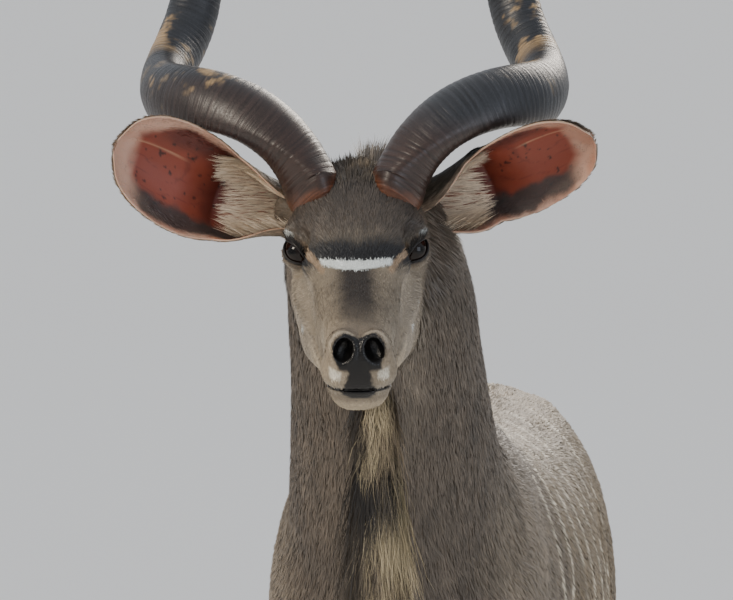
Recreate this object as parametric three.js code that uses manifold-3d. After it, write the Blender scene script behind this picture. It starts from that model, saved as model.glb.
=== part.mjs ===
// A greater kudu bull, standing, life size, as a still museum model.
// Millimetres, +Z up. The bull faces -Y, its left side is +X, and its hooves stand on z = 0.
import * as THREE from "three";
import { mergeVertices } from "three/addons/utils/BufferGeometryUtils.js";
import Module from "manifold-3d";

const wasm = await Module();
wasm.setup();

// Driving sizes of the whole animal
const GAP = 0.3;
const HEAD_PITCH = 30.5;
const HEAD_YAW = 7.5;
const HEAD_ROLL = 1;
const EYE_LINE = new THREE.Vector3(-6, -561, 1588);
const NECK_FOOT = new THREE.Vector3(0, -20, 1130);
const NECK_HEAD = new THREE.Vector3(-4, -470, 1590);
const SIDES = { right: -1, left: 1 };

// Each row of a body part: place along its axis, shift sideways, shift upward, half width, reach above, reach below.
// A body part is closed by round ends whose depths are the two numbers of ends.
const TORSO = {
  ends: [100, 120],
  flatness: [2.15, 2.2],
  rows: [
    [-300, 0, 1095, 104, 130, 160],
    [-200, 0, 1083, 138, 190, 218],
    [-80, 0, 1080, 164, 290, 268],
    [40, 0, 1070, 180, 330, 288],
    [200, 0, 1065, 198, 305, 292],
    [400, 0, 1065, 209, 282, 285],
    [600, 0, 1075, 205, 275, 272],
    [780, 0, 1095, 190, 272, 232],
    [920, 0, 1110, 174, 266, 202],
    [1040, 0, 1120, 146, 234, 190],
    [1150, 0, 1125, 100, 176, 160],
  ],
};

const NECK = {
  ends: [40, 70],
  flatness: [1.9, 2.1],
  rows: [
    [40, 0, 0, 140, 215, 262],
    [100, 0, 0, 140, 202, 246],
    [200, 2, 0, 137, 180, 224],
    [320, 5, 0, 128, 154, 190],
    [450, 9, 0, 120, 130, 160],
    [560, 11, 0, 116, 112, 142],
    [640, 9, 0, 106, 100, 130],
    [700, 6, 0, 92, 88, 114],
  ],
};

// The head's rows run from the nape to the nose tip, measured from the line through the eyes.
const HEAD = {
  ends: [46, 24],
  flatness: [2.3, 2.7],
  rows: [
    [-165, 0, -32, 66, 66, 86],
    [-110, 0, -26, 76, 80, 106],
    [-60, 0, -16, 84, 82, 122],
    [-20, 0, -6, 86, 67, 139],
    [20, 0, -4, 82, 57, 137],
    [60, 0, -10, 75, 55, 119],
    [100, 0, -18, 65, 55, 98],
    [140, 0, -22, 54, 52, 78],
    [180, 0, -23, 46, 49, 66],
    [215, 0, -23, 44, 47, 63],
    [240, 0, -22, 43, 46, 59],
    [266, 0, -20, 38, 40, 46],
  ],
};

// The cheeks and the lower jaw, broad and square below the eyes.
const JAW = {
  ends: [30, 30],
  flatness: [2.6, 3.2],
  rows: [
    [-75, 0, -76, 60, 40, 60],
    [-20, 0, -80, 70, 50, 68],
    [30, 0, -78, 73, 50, 65],
    [70, 0, -74, 71, 46, 54],
    [110, 0, -68, 63, 42, 41],
    [150, 0, -62, 51, 34, 33],
    [190, 0, -56, 40, 28, 28],
  ],
};
// The slanting plane behind the ears and the jaw where the head meets the neck, and the place on the neck's axis
// of the plane where the neck meets the chest.
const NAPE_PLANE = { y: -474, z: 1461, slant: 17.5 };
const NECK_PLANE = 190;

// A leg's rows run upward from the coronet: height, x, y, half width, reach forward, reach backward.
const FRONT_LEG = {
  ends: [0, 110],
  flatness: [2, 2.1],
  rows: [
    [50, 100, -34, 32, 34, 34],
    [68, 100, -30, 30, 31, 33],
    [90, 101, -18, 26, 26, 28],
    [122, 102, -2, 24, 24, 27],
    [158, 103, 4, 25, 25, 29],
    [200, 104, 3, 21, 22, 25],
    [300, 106, 0, 20, 22, 23],
    [385, 108, -3, 23, 26, 25],
    [425, 108, -8, 29, 33, 29],
    [470, 109, -10, 31, 35, 30],
    [520, 110, -9, 28, 32, 31],
    [620, 112, -8, 31, 38, 38],
    [730, 114, -8, 38, 50, 52],
    [830, 117, -12, 48, 68, 78],
    [930, 117, -40, 56, 92, 112],
    [1040, 112, -70, 62, 118, 128],
    [1150, 106, -45, 62, 122, 124],
    [1260, 96, 5, 52, 100, 100],
    [1350, 84, 30, 40, 84, 90],
  ],
};

const HIND_LEG = {
  ends: [0, 110],
  flatness: [2, 2.1],
  rows: [
    [50, 100, 926, 32, 34, 34],
    [68, 100, 930, 30, 31, 33],
    [90, 101, 944, 26, 26, 28],
    [125, 102, 962, 24, 25, 28],
    [166, 103, 976, 26, 26, 30],
    [220, 104, 982, 21, 23, 25],
    [350, 107, 998, 20, 24, 24],
    [470, 110, 1014, 24, 29, 28],
    [545, 112, 1026, 28, 40, 36],
    [600, 112, 1026, 30, 44, 48],
    [665, 113, 1000, 32, 46, 56],
    [745, 115, 957, 40, 72, 74],
    [830, 117, 917, 54, 114, 114],
    [930, 117, 892, 68, 150, 160],
    [1040, 110, 905, 74, 176, 182],
    [1150, 102, 920, 70, 160, 166],
    [1250, 90, 935, 56, 120, 122],
    [1335, 78, 945, 42, 84, 84],
  ],
};

// The block that parts a leg from the trunk: its inner face, and its outline in y and z.
const SHOULDER = {
  inside: 76,
  outline: [[-215, 700], [-215, 1130], [-130, 1290], [-20, 1372], [100, 1372], [150, 1290], [140, 1050], [110, 700]],
};
const THIGH = {
  inside: 66,
  outline: [[810, 700], [735, 930], [720, 1120], [795, 1270], [880, 1356], [1010, 1356], [1075, 1270], [1120, 1080],
    [1115, 930], [1100, 700]],
};

// A toe's rows run upward from the sole, around the toe's own middle.
const TOE = {
  ends: [0, 0],
  flatness: [2.2, 3],
  rows: [
    [0, 0, -9, 15.8, 49, 33],
    [14, 0, -8, 16, 44, 33],
    [34, 0, -4, 15.8, 34, 32],
    [49.7, 0, 0, 15.2, 28, 30],
  ],
};
const TOE_SPREAD = 16.3;
const TOE_FORWARD = 4;
const DEWCLAW = { z: 112, x: 14, back: 27, size: [9, 10, 15] };

const TAIL_ROOT = new THREE.Vector3(0, 1076, 1296);
const TAIL_TIP = new THREE.Vector3(0, 1196, 800);
const TAIL = {
  ends: [20, 16],
  flatness: [2, 2],
  rows: [
    [0, 0, 0, 24, 20, 24],
    [60, 0, 18, 31, 27, 34],
    [120, 0, 34, 28, 22, 26],
    [200, 0, 38, 24, 18, 20],
    [280, 0, 32, 21, 17, 17],
    [350, 0, 24, 19, 15, 15],
    [410, 0, 16, 14, 11, 11],
  ],
};

// Horn: a helix whose axis leans back from the face and outward, and whose radius first opens, then closes.
const HORN_BASE = { x: 52, along: -80, up: 40 };
const HORN_RISE = 19;
const HORN_SPLAY = { right: 22, left: 23.5 };
const HORN_HEIGHT = 880;
const HORN_TURN = 590;
const HORN_START = -150;
const HORN_COIL = [30, 70, 70, 60, 44, 20];
const HORN_THICK = [35, 31, 27, 22, 15, 2.5];
const HORN_KEEL = [1.36, 1.3, 1.2, 1.12, 1.06, 1];
const KEEL_TURN = 60;

// Ear: outline rows give the share of its length, its reach to the upper edge and to the lower edge.
const EAR_BASE = { x: 76, along: -110, up: -10 };
const EAR_ROOT = 0.14;
const EAR_LENGTH = 241;
const EAR_WALL = 4.2;
const EAR_OUTLINE = [
  [0, 24, 30],
  [0.12, 25, 40],
  [0.3, 34, 62],
  [0.5, 52, 75],
  [0.7, 58, 70],
  [0.86, 50, 54],
  [0.95, 33, 34],
  [1, 9, 9],
];
const EAR_RISE = 20;
const EAR_FORWARD = 18;
const EAR_TWIST = { right: -4, left: -38 };

// Eyes, their lids, the nostrils and the line of the mouth, in the head's own directions.
const EYE = { x: 67, along: 4, up: 1 };
const EYE_RADIUS = 21;
const EYE_GAZE = { x: 0.66, along: 0.7, up: 0.24 };
const BROW = { x: 66, along: -10, up: 17, size: [25, 38, 15] };
const LID_DEPTH = 3.8;
const EYE_OPENING = { length: 43, height: 27, slant: 12 };
const NOSTRIL = { x: 20, along: 270, up: 17, size: [11, 36, 14] };
const MOUTH_LINE = [[310, -26], [275, -28], [255, -33], [235, -40], [200, -48], [160, -50], [125, -44]];
const MOUTH_WIDTH = 2.6;
const MOUTH_DEPTH = 7;

// Rows of locks: from one place along the part to another, how many, and how long the first, middle and last are.
// lean tips a lock back along the part, sink is how deep its root sits, spread is how far it stands off the middle line.
const NECK_CREST = { from: 640, to: 246, count: 17, length: [52, 72, 66], width: 50, lean: 16, sink: 22, spread: 5 };
const BACK_CREST = { from: -20, to: 430, count: 11, length: [56, 44, 30], width: 54, lean: 42, sink: 20, spread: 4 };
const FRINGE = { from: 532, to: 205, count: 13, length: [86, 150, 172], width: 36, lean: 0, sink: 20, spread: 14 };
const TUFT = { from: 285, to: 395, count: 9, length: [120, 128, 112], width: 28, sink: 9 };
const LOCK_THICKNESS = 0.24;
const LOCK_BEND = 0.3;

const hide = new THREE.MeshStandardMaterial({ color: 0x7d6d5c, roughness: 0.85 });
const earHide = new THREE.MeshStandardMaterial({ color: 0xa08a78, roughness: 0.8 });
const hornSheath = new THREE.MeshStandardMaterial({ color: 0x3b3028, roughness: 0.45 });
const hoofHorn = new THREE.MeshStandardMaterial({ color: 0x2a2420, roughness: 0.5 });
const eyeGloss = new THREE.MeshStandardMaterial({ color: 0x140c08, roughness: 0.08 });

const radians = THREE.MathUtils.degToRad;
const kudu = new THREE.Group();

// A closed geometry as a solid, turned right way out where its faces point inwards.
function solid(geometry) {
  const bare = geometry.clone();
  bare.deleteAttribute("normal");
  bare.deleteAttribute("uv");
  const merged = mergeVertices(bare, 1e-3);
  const corners = merged.index.array;
  const kept = [];
  for (let i = 0; i < corners.length; i += 3) {
    const [a, b, c] = corners.slice(i, i + 3);
    if (a !== b && b !== c && c !== a) kept.push(a, b, c);
  }
  const build = (triangles) =>
    new wasm.Manifold(
      new wasm.Mesh({
        numProp: 3,
        vertProperties: Float32Array.from(merged.attributes.position.array),
        triVerts: Uint32Array.from(triangles),
      }),
    );
  const made = build(kept);
  return made.volume() < 0 ? build(kept.reverse()) : made;
}

function joined(solids) {
  return solids.reduce((sum, next) => sum.add(next));
}

// The largest closed surface, with any hollow inside it filled.
function largest(made) {
  const bodies = made.decompose();
  return bodies.reduce((best, next) => (next.volume() > best.volume() ? next : best));
}

function addNode(name, made, material) {
  const shape = largest(made).getMesh();
  const geometry = new THREE.BufferGeometry();
  geometry.setAttribute("position", new THREE.BufferAttribute(shape.vertProperties, 3));
  geometry.setIndex(new THREE.BufferAttribute(shape.triVerts, 1));
  geometry.computeVertexNormals();
  const mesh = new THREE.Mesh(geometry, material);
  mesh.name = name;
  kudu.add(mesh);
}

// The rows of a table, blended by a smooth cubic at any place along it.
function blended(rows) {
  const width = rows[0].length - 1;
  const places = Float32Array.from(rows.map((row) => row[0]));
  const values = Float32Array.from(rows.flatMap((row) => row.slice(1)));
  const curve = new THREE.CubicInterpolant(places, values, width, new Float32Array(width));
  return (place) => Array.from(curve.evaluate(THREE.MathUtils.clamp(place, places[0], places.at(-1))));
}

// Where the rings of a body part lie, and how far each round end has opened there.
function ringsOf({ rows, ends }, count) {
  const [first, last] = [rows[0][0], rows.at(-1)[0]];
  const dome = [0.3, 0.62, 0.86];
  const rings = [];
  const opening = (fromEnd, depth) => {
    const left = Math.max(0, 1 - fromEnd / depth);
    return Math.sqrt(1 - left * left);
  };
  const start = ends[0] ? dome.map((d) => ends[0] * (1 - Math.sqrt(1 - d * d))) : [0];
  const stop = ends[1] ? dome.map((d) => ends[1] * (1 - Math.sqrt(1 - d * d))) : [0];
  start.forEach((d) => rings.push(first + d));
  const inner = [first + (ends[0] ? ends[0] * 0.72 : 0), last - (ends[1] ? ends[1] * 0.72 : 0)];
  for (let i = ends[0] ? 0 : 1; i <= (ends[1] ? count : count - 1); i++) {
    rings.push(THREE.MathUtils.lerp(inner[0], inner[1], i / count));
  }
  stop.reverse().forEach((d) => rings.push(last - d));
  return rings.map((at) => ({
    at,
    open: (ends[0] ? opening(at - first, ends[0]) : 1) * (ends[1] ? opening(last - at, ends[1]) : 1),
  }));
}

// A body part as a closed solid: a ball whose rows are spread along the part and pushed out to its sections.
// frame holds the origin and the three directions: side, along and up. grow moves the surface outward.
function bodyPart(part, frame, sides, count, grow = 0) {
  const rings = ringsOf(part, count);
  const section = blended(part.rows);
  const [first, last] = [part.rows[0][0], part.rows.at(-1)[0]];
  const ball = new THREE.SphereGeometry(1, sides, rings.length + 1);
  const position = ball.attributes.position;
  const uv = ball.attributes.uv;
  for (let i = 0; i < position.count; i++) {
    const row = Math.round((1 - uv.getY(i)) * (rings.length + 1));
    const ring = rings[THREE.MathUtils.clamp(row - 1, 0, rings.length - 1)];
    const pole = row === 0 || row === rings.length + 1;
    const at = pole ? (row === 0 ? first - grow : last + grow) : ring.at;
    const [sideways, upward, halfWidth, above, below] = section(at);
    const turn = 2 * Math.PI * uv.getX(i);
    const [c, s] = [Math.cos(turn), Math.sin(turn)];
    const flatness = part.flatness[s > 0 ? 0 : 1];
    const reach = (Math.abs(c) ** flatness + Math.abs(s) ** flatness) ** (-1 / flatness);
    const open = pole ? 0 : ring.open;
    const x = sideways + c * reach * (halfWidth * open + grow * (pole ? 0 : 1));
    const z = upward + s * reach * ((s > 0 ? above : below) * open + grow * (pole ? 0 : 1));
    position.setXYZ(
      i,
      frame.origin.x + frame.side.x * x + frame.along.x * at + frame.up.x * z,
      frame.origin.y + frame.side.y * x + frame.along.y * at + frame.up.y * z,
      frame.origin.z + frame.side.z * x + frame.along.z * at + frame.up.z * z,
    );
  }
  return solid(ball);
}

const X = new THREE.Vector3(1, 0, 0);
const Y = new THREE.Vector3(0, 1, 0);
const Z = new THREE.Vector3(0, 0, 1);
const torsoFrame = { origin: new THREE.Vector3(), side: X, along: Y, up: Z };

// The frame of a straight axis between two points, with its side kept level.
function frameBetween(from, to) {
  const along = to.clone().sub(from).normalize();
  const side = new THREE.Vector3().crossVectors(Z, along).normalize();
  const up = new THREE.Vector3().crossVectors(along, side);
  return { origin: from, side, along, up };
}
const neckFrame = frameBetween(NECK_FOOT, NECK_HEAD);

// The head's frame sits on the line through the eyes: along runs to the nose and up rises from the forehead.
function headDirections() {
  const [pitch, yaw] = [radians(HEAD_PITCH), radians(HEAD_YAW)];
  const along = new THREE.Vector3(
    Math.sin(yaw) * Math.cos(pitch),
    -Math.cos(yaw) * Math.cos(pitch),
    -Math.sin(pitch),
  );
  const side = new THREE.Vector3(Math.cos(yaw), Math.sin(yaw), 0).applyAxisAngle(along, radians(HEAD_ROLL));
  const up = new THREE.Vector3().crossVectors(along, side);
  return { origin: EYE_LINE, side, along, up };
}
const headFrame = headDirections();

// A point given in the head's own directions: sideways, toward the nose, upward.
function onHead(x, along, up) {
  return headFrame.origin
    .clone()
    .addScaledVector(headFrame.side, x)
    .addScaledVector(headFrame.along, along)
    .addScaledVector(headFrame.up, up);
}

function headDirection(x, along, up) {
  return onHead(x, along, up).sub(headFrame.origin).normalize();
}

function legFrame(side) {
  return { origin: new THREE.Vector3(), side: X.clone().multiplyScalar(side), along: Z, up: Y.clone().negate() };
}

// A leg's rows hold y as a place, and its frame's up points forward, so the shift changes sign.
function legPart(leg) {
  return { ...leg, rows: leg.rows.map(([z, x, y, w, front, back]) => [z, x, -y, w, front, back]) };
}

// A tube along a list of points, each with its own oval section, as a closed solid.
function tube(points, sections, sides, tip = points.at(-1)) {
  const ball = new THREE.SphereGeometry(1, sides, points.length + 1);
  const position = ball.attributes.position;
  const uv = ball.attributes.uv;
  for (let i = 0; i < position.count; i++) {
    const row = Math.round((1 - uv.getY(i)) * (points.length + 1));
    const n = THREE.MathUtils.clamp(row - 1, 0, points.length - 1);
    const pole = row === 0 || row === points.length + 1;
    const { across, over, shape } = sections[n];
    const turn = 2 * Math.PI * uv.getX(i);
    const [a, b] = pole ? [0, 0] : shape(turn);
    const middle = row > points.length ? tip : points[n];
    const p = middle.clone().addScaledVector(across, a).addScaledVector(over, b);
    position.setXYZ(i, p.x, p.y, p.z);
  }
  return solid(ball);
}

// Values spread evenly along a length, blended smoothly.
function evenly(values) {
  const smooth = blended(values.map((value, i) => [i / (values.length - 1), value]));
  return (share) => smooth(share)[0];
}

// One horn: the helix turns from the inside over the front to the outside, then behind and round again.
// The section is an oval with a keel that stays on the same side of the coil.
function horn(sideName, grow = 0) {
  const side = SIDES[sideName];
  const [rise, splay] = [radians(HORN_RISE), radians(HORN_SPLAY[sideName])];
  const axis = headDirection(
    side * Math.sin(splay),
    -Math.cos(splay) * Math.cos(rise),
    Math.cos(splay) * Math.sin(rise),
  );
  const outward = headDirection(side, 0, 0);
  outward.addScaledVector(axis, -outward.dot(axis)).normalize();
  const front = new THREE.Vector3().crossVectors(axis, outward).multiplyScalar(side);
  if (front.dot(headFrame.up) < 0) front.negate();
  const coil = evenly(HORN_COIL);
  const thick = evenly(HORN_THICK);
  const keel = evenly(HORN_KEEL);
  const angle = (share) => radians(HORN_START + HORN_TURN * share);
  const helix = (share) => {
    const [turn, radius] = [angle(share), coil(share)];
    return new THREE.Vector3()
      .addScaledVector(axis, HORN_HEIGHT * share)
      .addScaledVector(outward, radius * Math.cos(turn))
      .addScaledVector(front, -radius * Math.sin(turn));
  };
  const foot = onHead(side * HORN_BASE.x, HORN_BASE.along, HORN_BASE.up).sub(helix(0));
  const steps = 39;
  const points = [];
  const sections = [];
  for (let i = 0; i <= steps; i++) {
    const share = i / steps;
    const point = helix(share).add(foot);
    const ahead = helix(share + 0.002).sub(helix(share - 0.002)).normalize();
    const turn = angle(share) + radians(KEEL_TURN);
    const across = new THREE.Vector3()
      .addScaledVector(outward, Math.cos(turn))
      .addScaledVector(front, -Math.sin(turn));
    across.addScaledVector(ahead, -across.dot(ahead)).normalize();
    const over = new THREE.Vector3().crossVectors(ahead, across);
    const radius = thick(share) + grow;
    const ridge = keel(share);
    points.push(point);
    sections.push({
      across,
      over,
      shape: (t) => {
        const edge = Math.max(0, Math.cos(t)) ** 6;
        return [radius * ridge * Math.cos(t) * (1 + 0.12 * edge), radius * Math.sin(t) * (1 - 0.05 * edge)];
      },
    });
  }
  return tube(points, sections, 11);
}

// An ear: a leaf-shaped sheet with a wall, rolled into a funnel at its root and open like a cup further out.
function ear(sideName, wall) {
  const side = SIDES[sideName];
  const [rise, forward, twist] = [radians(EAR_RISE), radians(EAR_FORWARD), radians(EAR_TWIST[sideName])];
  const root = onHead(side * EAR_BASE.x, EAR_BASE.along, EAR_BASE.up);
  const view = new THREE.Vector3(Math.sin(radians(HEAD_YAW)), -Math.cos(radians(HEAD_YAW)), 0);
  const lateral = headFrame.side.clone().multiplyScalar(side);
  const along = lateral
    .clone()
    .multiplyScalar(Math.cos(rise) * Math.cos(forward))
    .addScaledVector(Z, Math.sin(rise))
    .addScaledVector(view, Math.cos(rise) * Math.sin(forward))
    .normalize();
  const open = view.clone().addScaledVector(along, -view.dot(along)).normalize();
  const upper = Z.clone().addScaledVector(along, -Z.dot(along)).normalize();
  const facing = open
    .clone()
    .multiplyScalar(Math.cos(twist))
    .addScaledVector(upper, Math.sin(twist));
  const over = upper
    .clone()
    .multiplyScalar(Math.cos(twist))
    .addScaledVector(open, -Math.sin(twist));
  const outline = blended(EAR_OUTLINE);
  const [rows, columns] = [13, 8];
  const place = (share, across, depth) => {
    const [above, below] = outline(share);
    const curl = THREE.MathUtils.lerp(2.55, 0.82, THREE.MathUtils.smoothstep(share, 0, 0.62));
    const half = (above + below) / 2;
    const middle = (above - below) / 2;
    const bend = across * curl;
    const radius = (half / Math.sin(Math.min(curl, Math.PI / 2))) * 0.98;
    const outwardly = radius + depth;
    return root
      .clone()
      .addScaledVector(along, EAR_LENGTH * share)
      .addScaledVector(over, middle + outwardly * Math.sin(bend))
      .addScaledVector(facing, radius * Math.cos(Math.min(curl, 1.5)) - outwardly * Math.cos(bend));
  };
  const positions = [];
  const index = [];
  const count = (rows + 1) * (columns + 1);
  for (const depth of [0, wall]) {
    for (let i = 0; i <= rows; i++) {
      for (let j = 0; j <= columns; j++) {
        const p = place(THREE.MathUtils.lerp(-EAR_ROOT, 1, i / rows), (2 * j) / columns - 1, depth);
        positions.push(p.x, p.y, p.z);
      }
    }
  }
  const at = (layer, i, j) => layer * count + i * (columns + 1) + j;
  const quad = (a, b, c, d) => index.push(a, b, c, a, c, d);
  for (let i = 0; i < rows; i++) {
    for (let j = 0; j < columns; j++) {
      quad(at(0, i, j), at(0, i + 1, j), at(0, i + 1, j + 1), at(0, i, j + 1));
      quad(at(1, i, j + 1), at(1, i + 1, j + 1), at(1, i + 1, j), at(1, i, j));
    }
    quad(at(0, i + 1, 0), at(0, i, 0), at(1, i, 0), at(1, i + 1, 0));
    quad(at(0, i, columns), at(0, i + 1, columns), at(1, i + 1, columns), at(1, i, columns));
  }
  for (let j = 0; j < columns; j++) {
    quad(at(0, 0, j), at(0, 0, j + 1), at(1, 0, j + 1), at(1, 0, j));
    quad(at(0, rows, j + 1), at(0, rows, j), at(1, rows, j), at(1, rows, j + 1));
  }
  const geometry = new THREE.BufferGeometry();
  geometry.setAttribute("position", new THREE.Float32BufferAttribute(positions, 3));
  geometry.setIndex(index);
  return solid(geometry);
}

// A ball of a given radius at a point.
function ball(center, radius, sides) {
  const geometry = new THREE.SphereGeometry(radius, sides, Math.round(sides * 0.6));
  geometry.translate(center.x, center.y, center.z);
  return solid(geometry);
}

// A flat outline given in two directions of a frame, thickened along a third between two places.
function plate(outline, frame, from, to) {
  const shape = new THREE.Shape(outline.map(([a, b]) => new THREE.Vector2(a, b)));
  const geometry = new THREE.ExtrudeGeometry(shape, { depth: to - from, bevelEnabled: false, steps: 1 });
  geometry.translate(0, 0, from);
  geometry.applyMatrix4(new THREE.Matrix4().makeBasis(frame.first, frame.second, frame.depth));
  geometry.translate(frame.origin.x, frame.origin.y, frame.origin.z);
  return solid(geometry);
}
const sideways = { origin: new THREE.Vector3(), first: Y, second: Z, depth: X };

// A block that fills everything to the forward side of a plane.
function beyond(point, forward) {
  const size = 2600;
  const block = new THREE.BoxGeometry(size, size, size);
  block.translate(0, 0, size / 2);
  block.applyQuaternion(new THREE.Quaternion().setFromUnitVectors(Z, forward));
  block.translate(point.x, point.y, point.z);
  return solid(block);
}

function ellipsoid(center, sizes, directions, sides = 16) {
  const geometry = new THREE.SphereGeometry(1, sides, Math.round(sides * 0.6));
  const axes = directions.map((direction, i) => direction.clone().multiplyScalar(sizes[i]));
  geometry.applyMatrix4(new THREE.Matrix4().makeBasis(...axes));
  geometry.translate(center.x, center.y, center.z);
  return solid(geometry);
}

// A leg with its two dewclaws behind the fetlock.
function legFlesh(leg, side) {
  const limb = bodyPart(legPart(leg), legFrame(side), 10, 22);
  const at = blended(leg.rows)(DEWCLAW.z);
  const claws = [-1, 1].map((which) =>
    ellipsoid(
      new THREE.Vector3(side * at[0] + which * DEWCLAW.x, at[1] + DEWCLAW.back, DEWCLAW.z),
      DEWCLAW.size,
      [X, Y, Z],
      8,
    ),
  );
  return joined([limb, ...claws]);
}

// The block that parts a leg from the trunk, grown on every side by a clearance.
function legBlock(block, side, clearance) {
  const middle = block.outline.reduce((sum, [y, z]) => [sum[0] + y, sum[1] + z], [0, 0])
    .map((total) => total / block.outline.length);
  const outline = block.outline.map(([y, z]) => {
    const [dy, dz] = [y - middle[0], z - middle[1]];
    const stretch = 1 + clearance / Math.hypot(dy, dz);
    return [middle[0] + dy * stretch, middle[1] + dz * stretch];
  });
  const [inner, outer] = [block.inside - clearance, 400];
  return side > 0 ? plate(outline, sideways, inner, outer) : plate(outline, sideways, -outer, -inner);
}

// The opening between the lids: an almond along the gaze, from the middle of the eye outward.
function lidOpening(center, gaze, side) {
  const { length, height, slant } = EYE_OPENING;
  const almond = new THREE.Shape();
  almond.moveTo(-length / 2, 0);
  almond.quadraticCurveTo(0, height, length / 2, 0);
  almond.quadraticCurveTo(0, -height, -length / 2, 0);
  const geometry = new THREE.ExtrudeGeometry(almond, { depth: 60, bevelEnabled: false, curveSegments: 8 });
  geometry.rotateZ(radians(side * slant));
  const first = new THREE.Vector3().crossVectors(headFrame.up, gaze).normalize();
  const second = new THREE.Vector3().crossVectors(gaze, first);
  geometry.applyMatrix4(new THREE.Matrix4().makeBasis(first, second, gaze));
  geometry.translate(center.x, center.y, center.z);
  return solid(geometry);
}

// The flesh, whole, before it is parted.
const torsoFlesh = bodyPart(TORSO, torsoFrame, 22, 20);
const torsoGrown = bodyPart(TORSO, torsoFrame, 22, 20, GAP);
const neckFlesh = bodyPart(NECK, neckFrame, 20, 12);
const headFlesh = bodyPart(HEAD, headFrame, 22, 19);
const jawFlesh = bodyPart(JAW, headFrame, 14, 7);
const skull = joined([headFlesh, jawFlesh, neckFlesh]);
const neckGrown = bodyPart(NECK, neckFrame, 20, 12, GAP);
const skullGrown = joined([
  bodyPart(HEAD, headFrame, 22, 19, GAP),
  bodyPart(JAW, headFrame, 14, 7, GAP),
  neckGrown,
]);
const chestGrown = joined([torsoGrown, neckGrown]);

// A steady number between -1 and 1 for each lock, so that no two neighbours are alike.
function vary(index, kind) {
  const wave = Math.sin(12.9898 * (index + 1) + 78.233 * kind) * 43758.5453;
  return 2 * (wave - Math.floor(wave)) - 1;
}

// One flat, tapered, bending lock: it leaves along one direction and turns toward another, flat across face.
// grow moves its faces outward.
function lock(root, leave, toward, face, length, width, grow = 0) {
  const shares = [0, 0.42, 0.8];
  const fullness = [0.8, 1, 0.5];
  const points = [];
  const sections = [];
  const at = root.clone();
  for (let i = 0; i < shares.length; i++) {
    const heading = leave.clone().lerp(toward, shares[i]).normalize();
    if (i > 0) at.addScaledVector(heading, length * (shares[i] - shares[i - 1]));
    const across = face.clone().addScaledVector(heading, -face.dot(heading)).normalize();
    const over = new THREE.Vector3().crossVectors(heading, across);
    const wide = (width * fullness[i]) / 2;
    const thick = wide * LOCK_THICKNESS;
    const shape = (t) => [(wide + 4 * grow) * Math.cos(t), (thick + grow) * Math.sin(t)];
    points.push(at.clone().addScaledVector(heading, i > 0 ? 0 : -grow));
    sections.push({ across, over, shape });
  }
  const tip = at.clone().addScaledVector(toward, length * (1 - shares.at(-1)) + 8 * grow);
  return tube(points, sections, 4, tip);
}

// The locks of one row. place gives a lock's root on the skin, the way out of the skin and the way back along it.
function lockRow(row, place, kind, grow = 0) {
  const lengths = blended(row.length.map((length, i) => [i / (row.length.length - 1), length]));
  const locks = [];
  for (let i = 0; i < row.count; i++) {
    const share = i / (row.count - 1);
    const { skin, out, back } = place(THREE.MathUtils.lerp(row.from, row.to, share));
    const length = lengths(share)[0] * (1 + 0.12 * vary(i, kind));
    const offside = i % 2 ? 1 : -1;
    const lean = radians(row.lean + 7 * vary(i, kind + 1));
    const leave = out.clone().addScaledVector(back, Math.sin(lean) * (1 - LOCK_BEND)).normalize();
    const toward = out.clone().multiplyScalar(Math.cos(lean)).addScaledVector(back, Math.sin(lean) + LOCK_BEND);
    toward.addScaledVector(X, 0.16 * offside + 0.08 * vary(i, kind + 2)).normalize();
    const face = back.clone().addScaledVector(X, 0.5 * vary(i, kind + 3)).normalize();
    const root = skin.clone().addScaledVector(out, -row.sink).addScaledVector(X, row.spread * offside);
    locks.push(lock(root, leave, toward, face, length + row.sink, row.width, grow));
  }
  return locks;
}

const neckSection = blended(NECK.rows);
const backSection = blended(TORSO.rows);

function overNeck(at) {
  const [sideward, upward, , above] = neckSection(at);
  const skin = neckFrame.origin
    .clone()
    .addScaledVector(neckFrame.side, sideward)
    .addScaledVector(neckFrame.along, at)
    .addScaledVector(neckFrame.up, upward + above);
  return { skin, out: neckFrame.up, back: neckFrame.along.clone().negate() };
}

function overBack(at) {
  const [, upward, , above] = backSection(at);
  return { skin: new THREE.Vector3(0, at, upward + above), out: Z, back: Y };
}

// The throat's locks leave forward and fall straight down.
function throatLocks(row, kind) {
  const lengths = blended(row.length.map((length, i) => [i / (row.length.length - 1), length]));
  const down = Z.clone().negate();
  const locks = [];
  for (let i = 0; i < row.count; i++) {
    const share = i / (row.count - 1);
    for (const offside of [-1, 1]) {
      const index = 2 * i + (offside > 0 ? 1 : 0);
      const at = THREE.MathUtils.lerp(row.from, row.to, share) + 9 * vary(index, kind + 1);
      const [sideward, upward, , , below] = neckSection(at);
      const out = neckFrame.up.clone().negate();
      const root = neckFrame.origin
        .clone()
        .addScaledVector(neckFrame.along, at)
        .addScaledVector(neckFrame.side, sideward + row.spread * offside)
        .addScaledVector(out, below - upward - row.sink);
      const length = lengths(share)[0] * (1 + 0.12 * vary(index, kind));
      const leave = out.clone().addScaledVector(down, 0.55).normalize();
      const toward = down.clone().addScaledVector(X, 0.07 * offside + 0.05 * vary(index, kind + 2));
      toward.addScaledVector(Y, 0.1 * vary(index, kind + 3)).normalize();
      const face = X.clone().addScaledVector(Y, 0.9 * vary(index, kind + 4)).normalize();
      locks.push(lock(root, leave, toward, face, length + row.sink, row.width));
    }
  }
  return locks;
}

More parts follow.
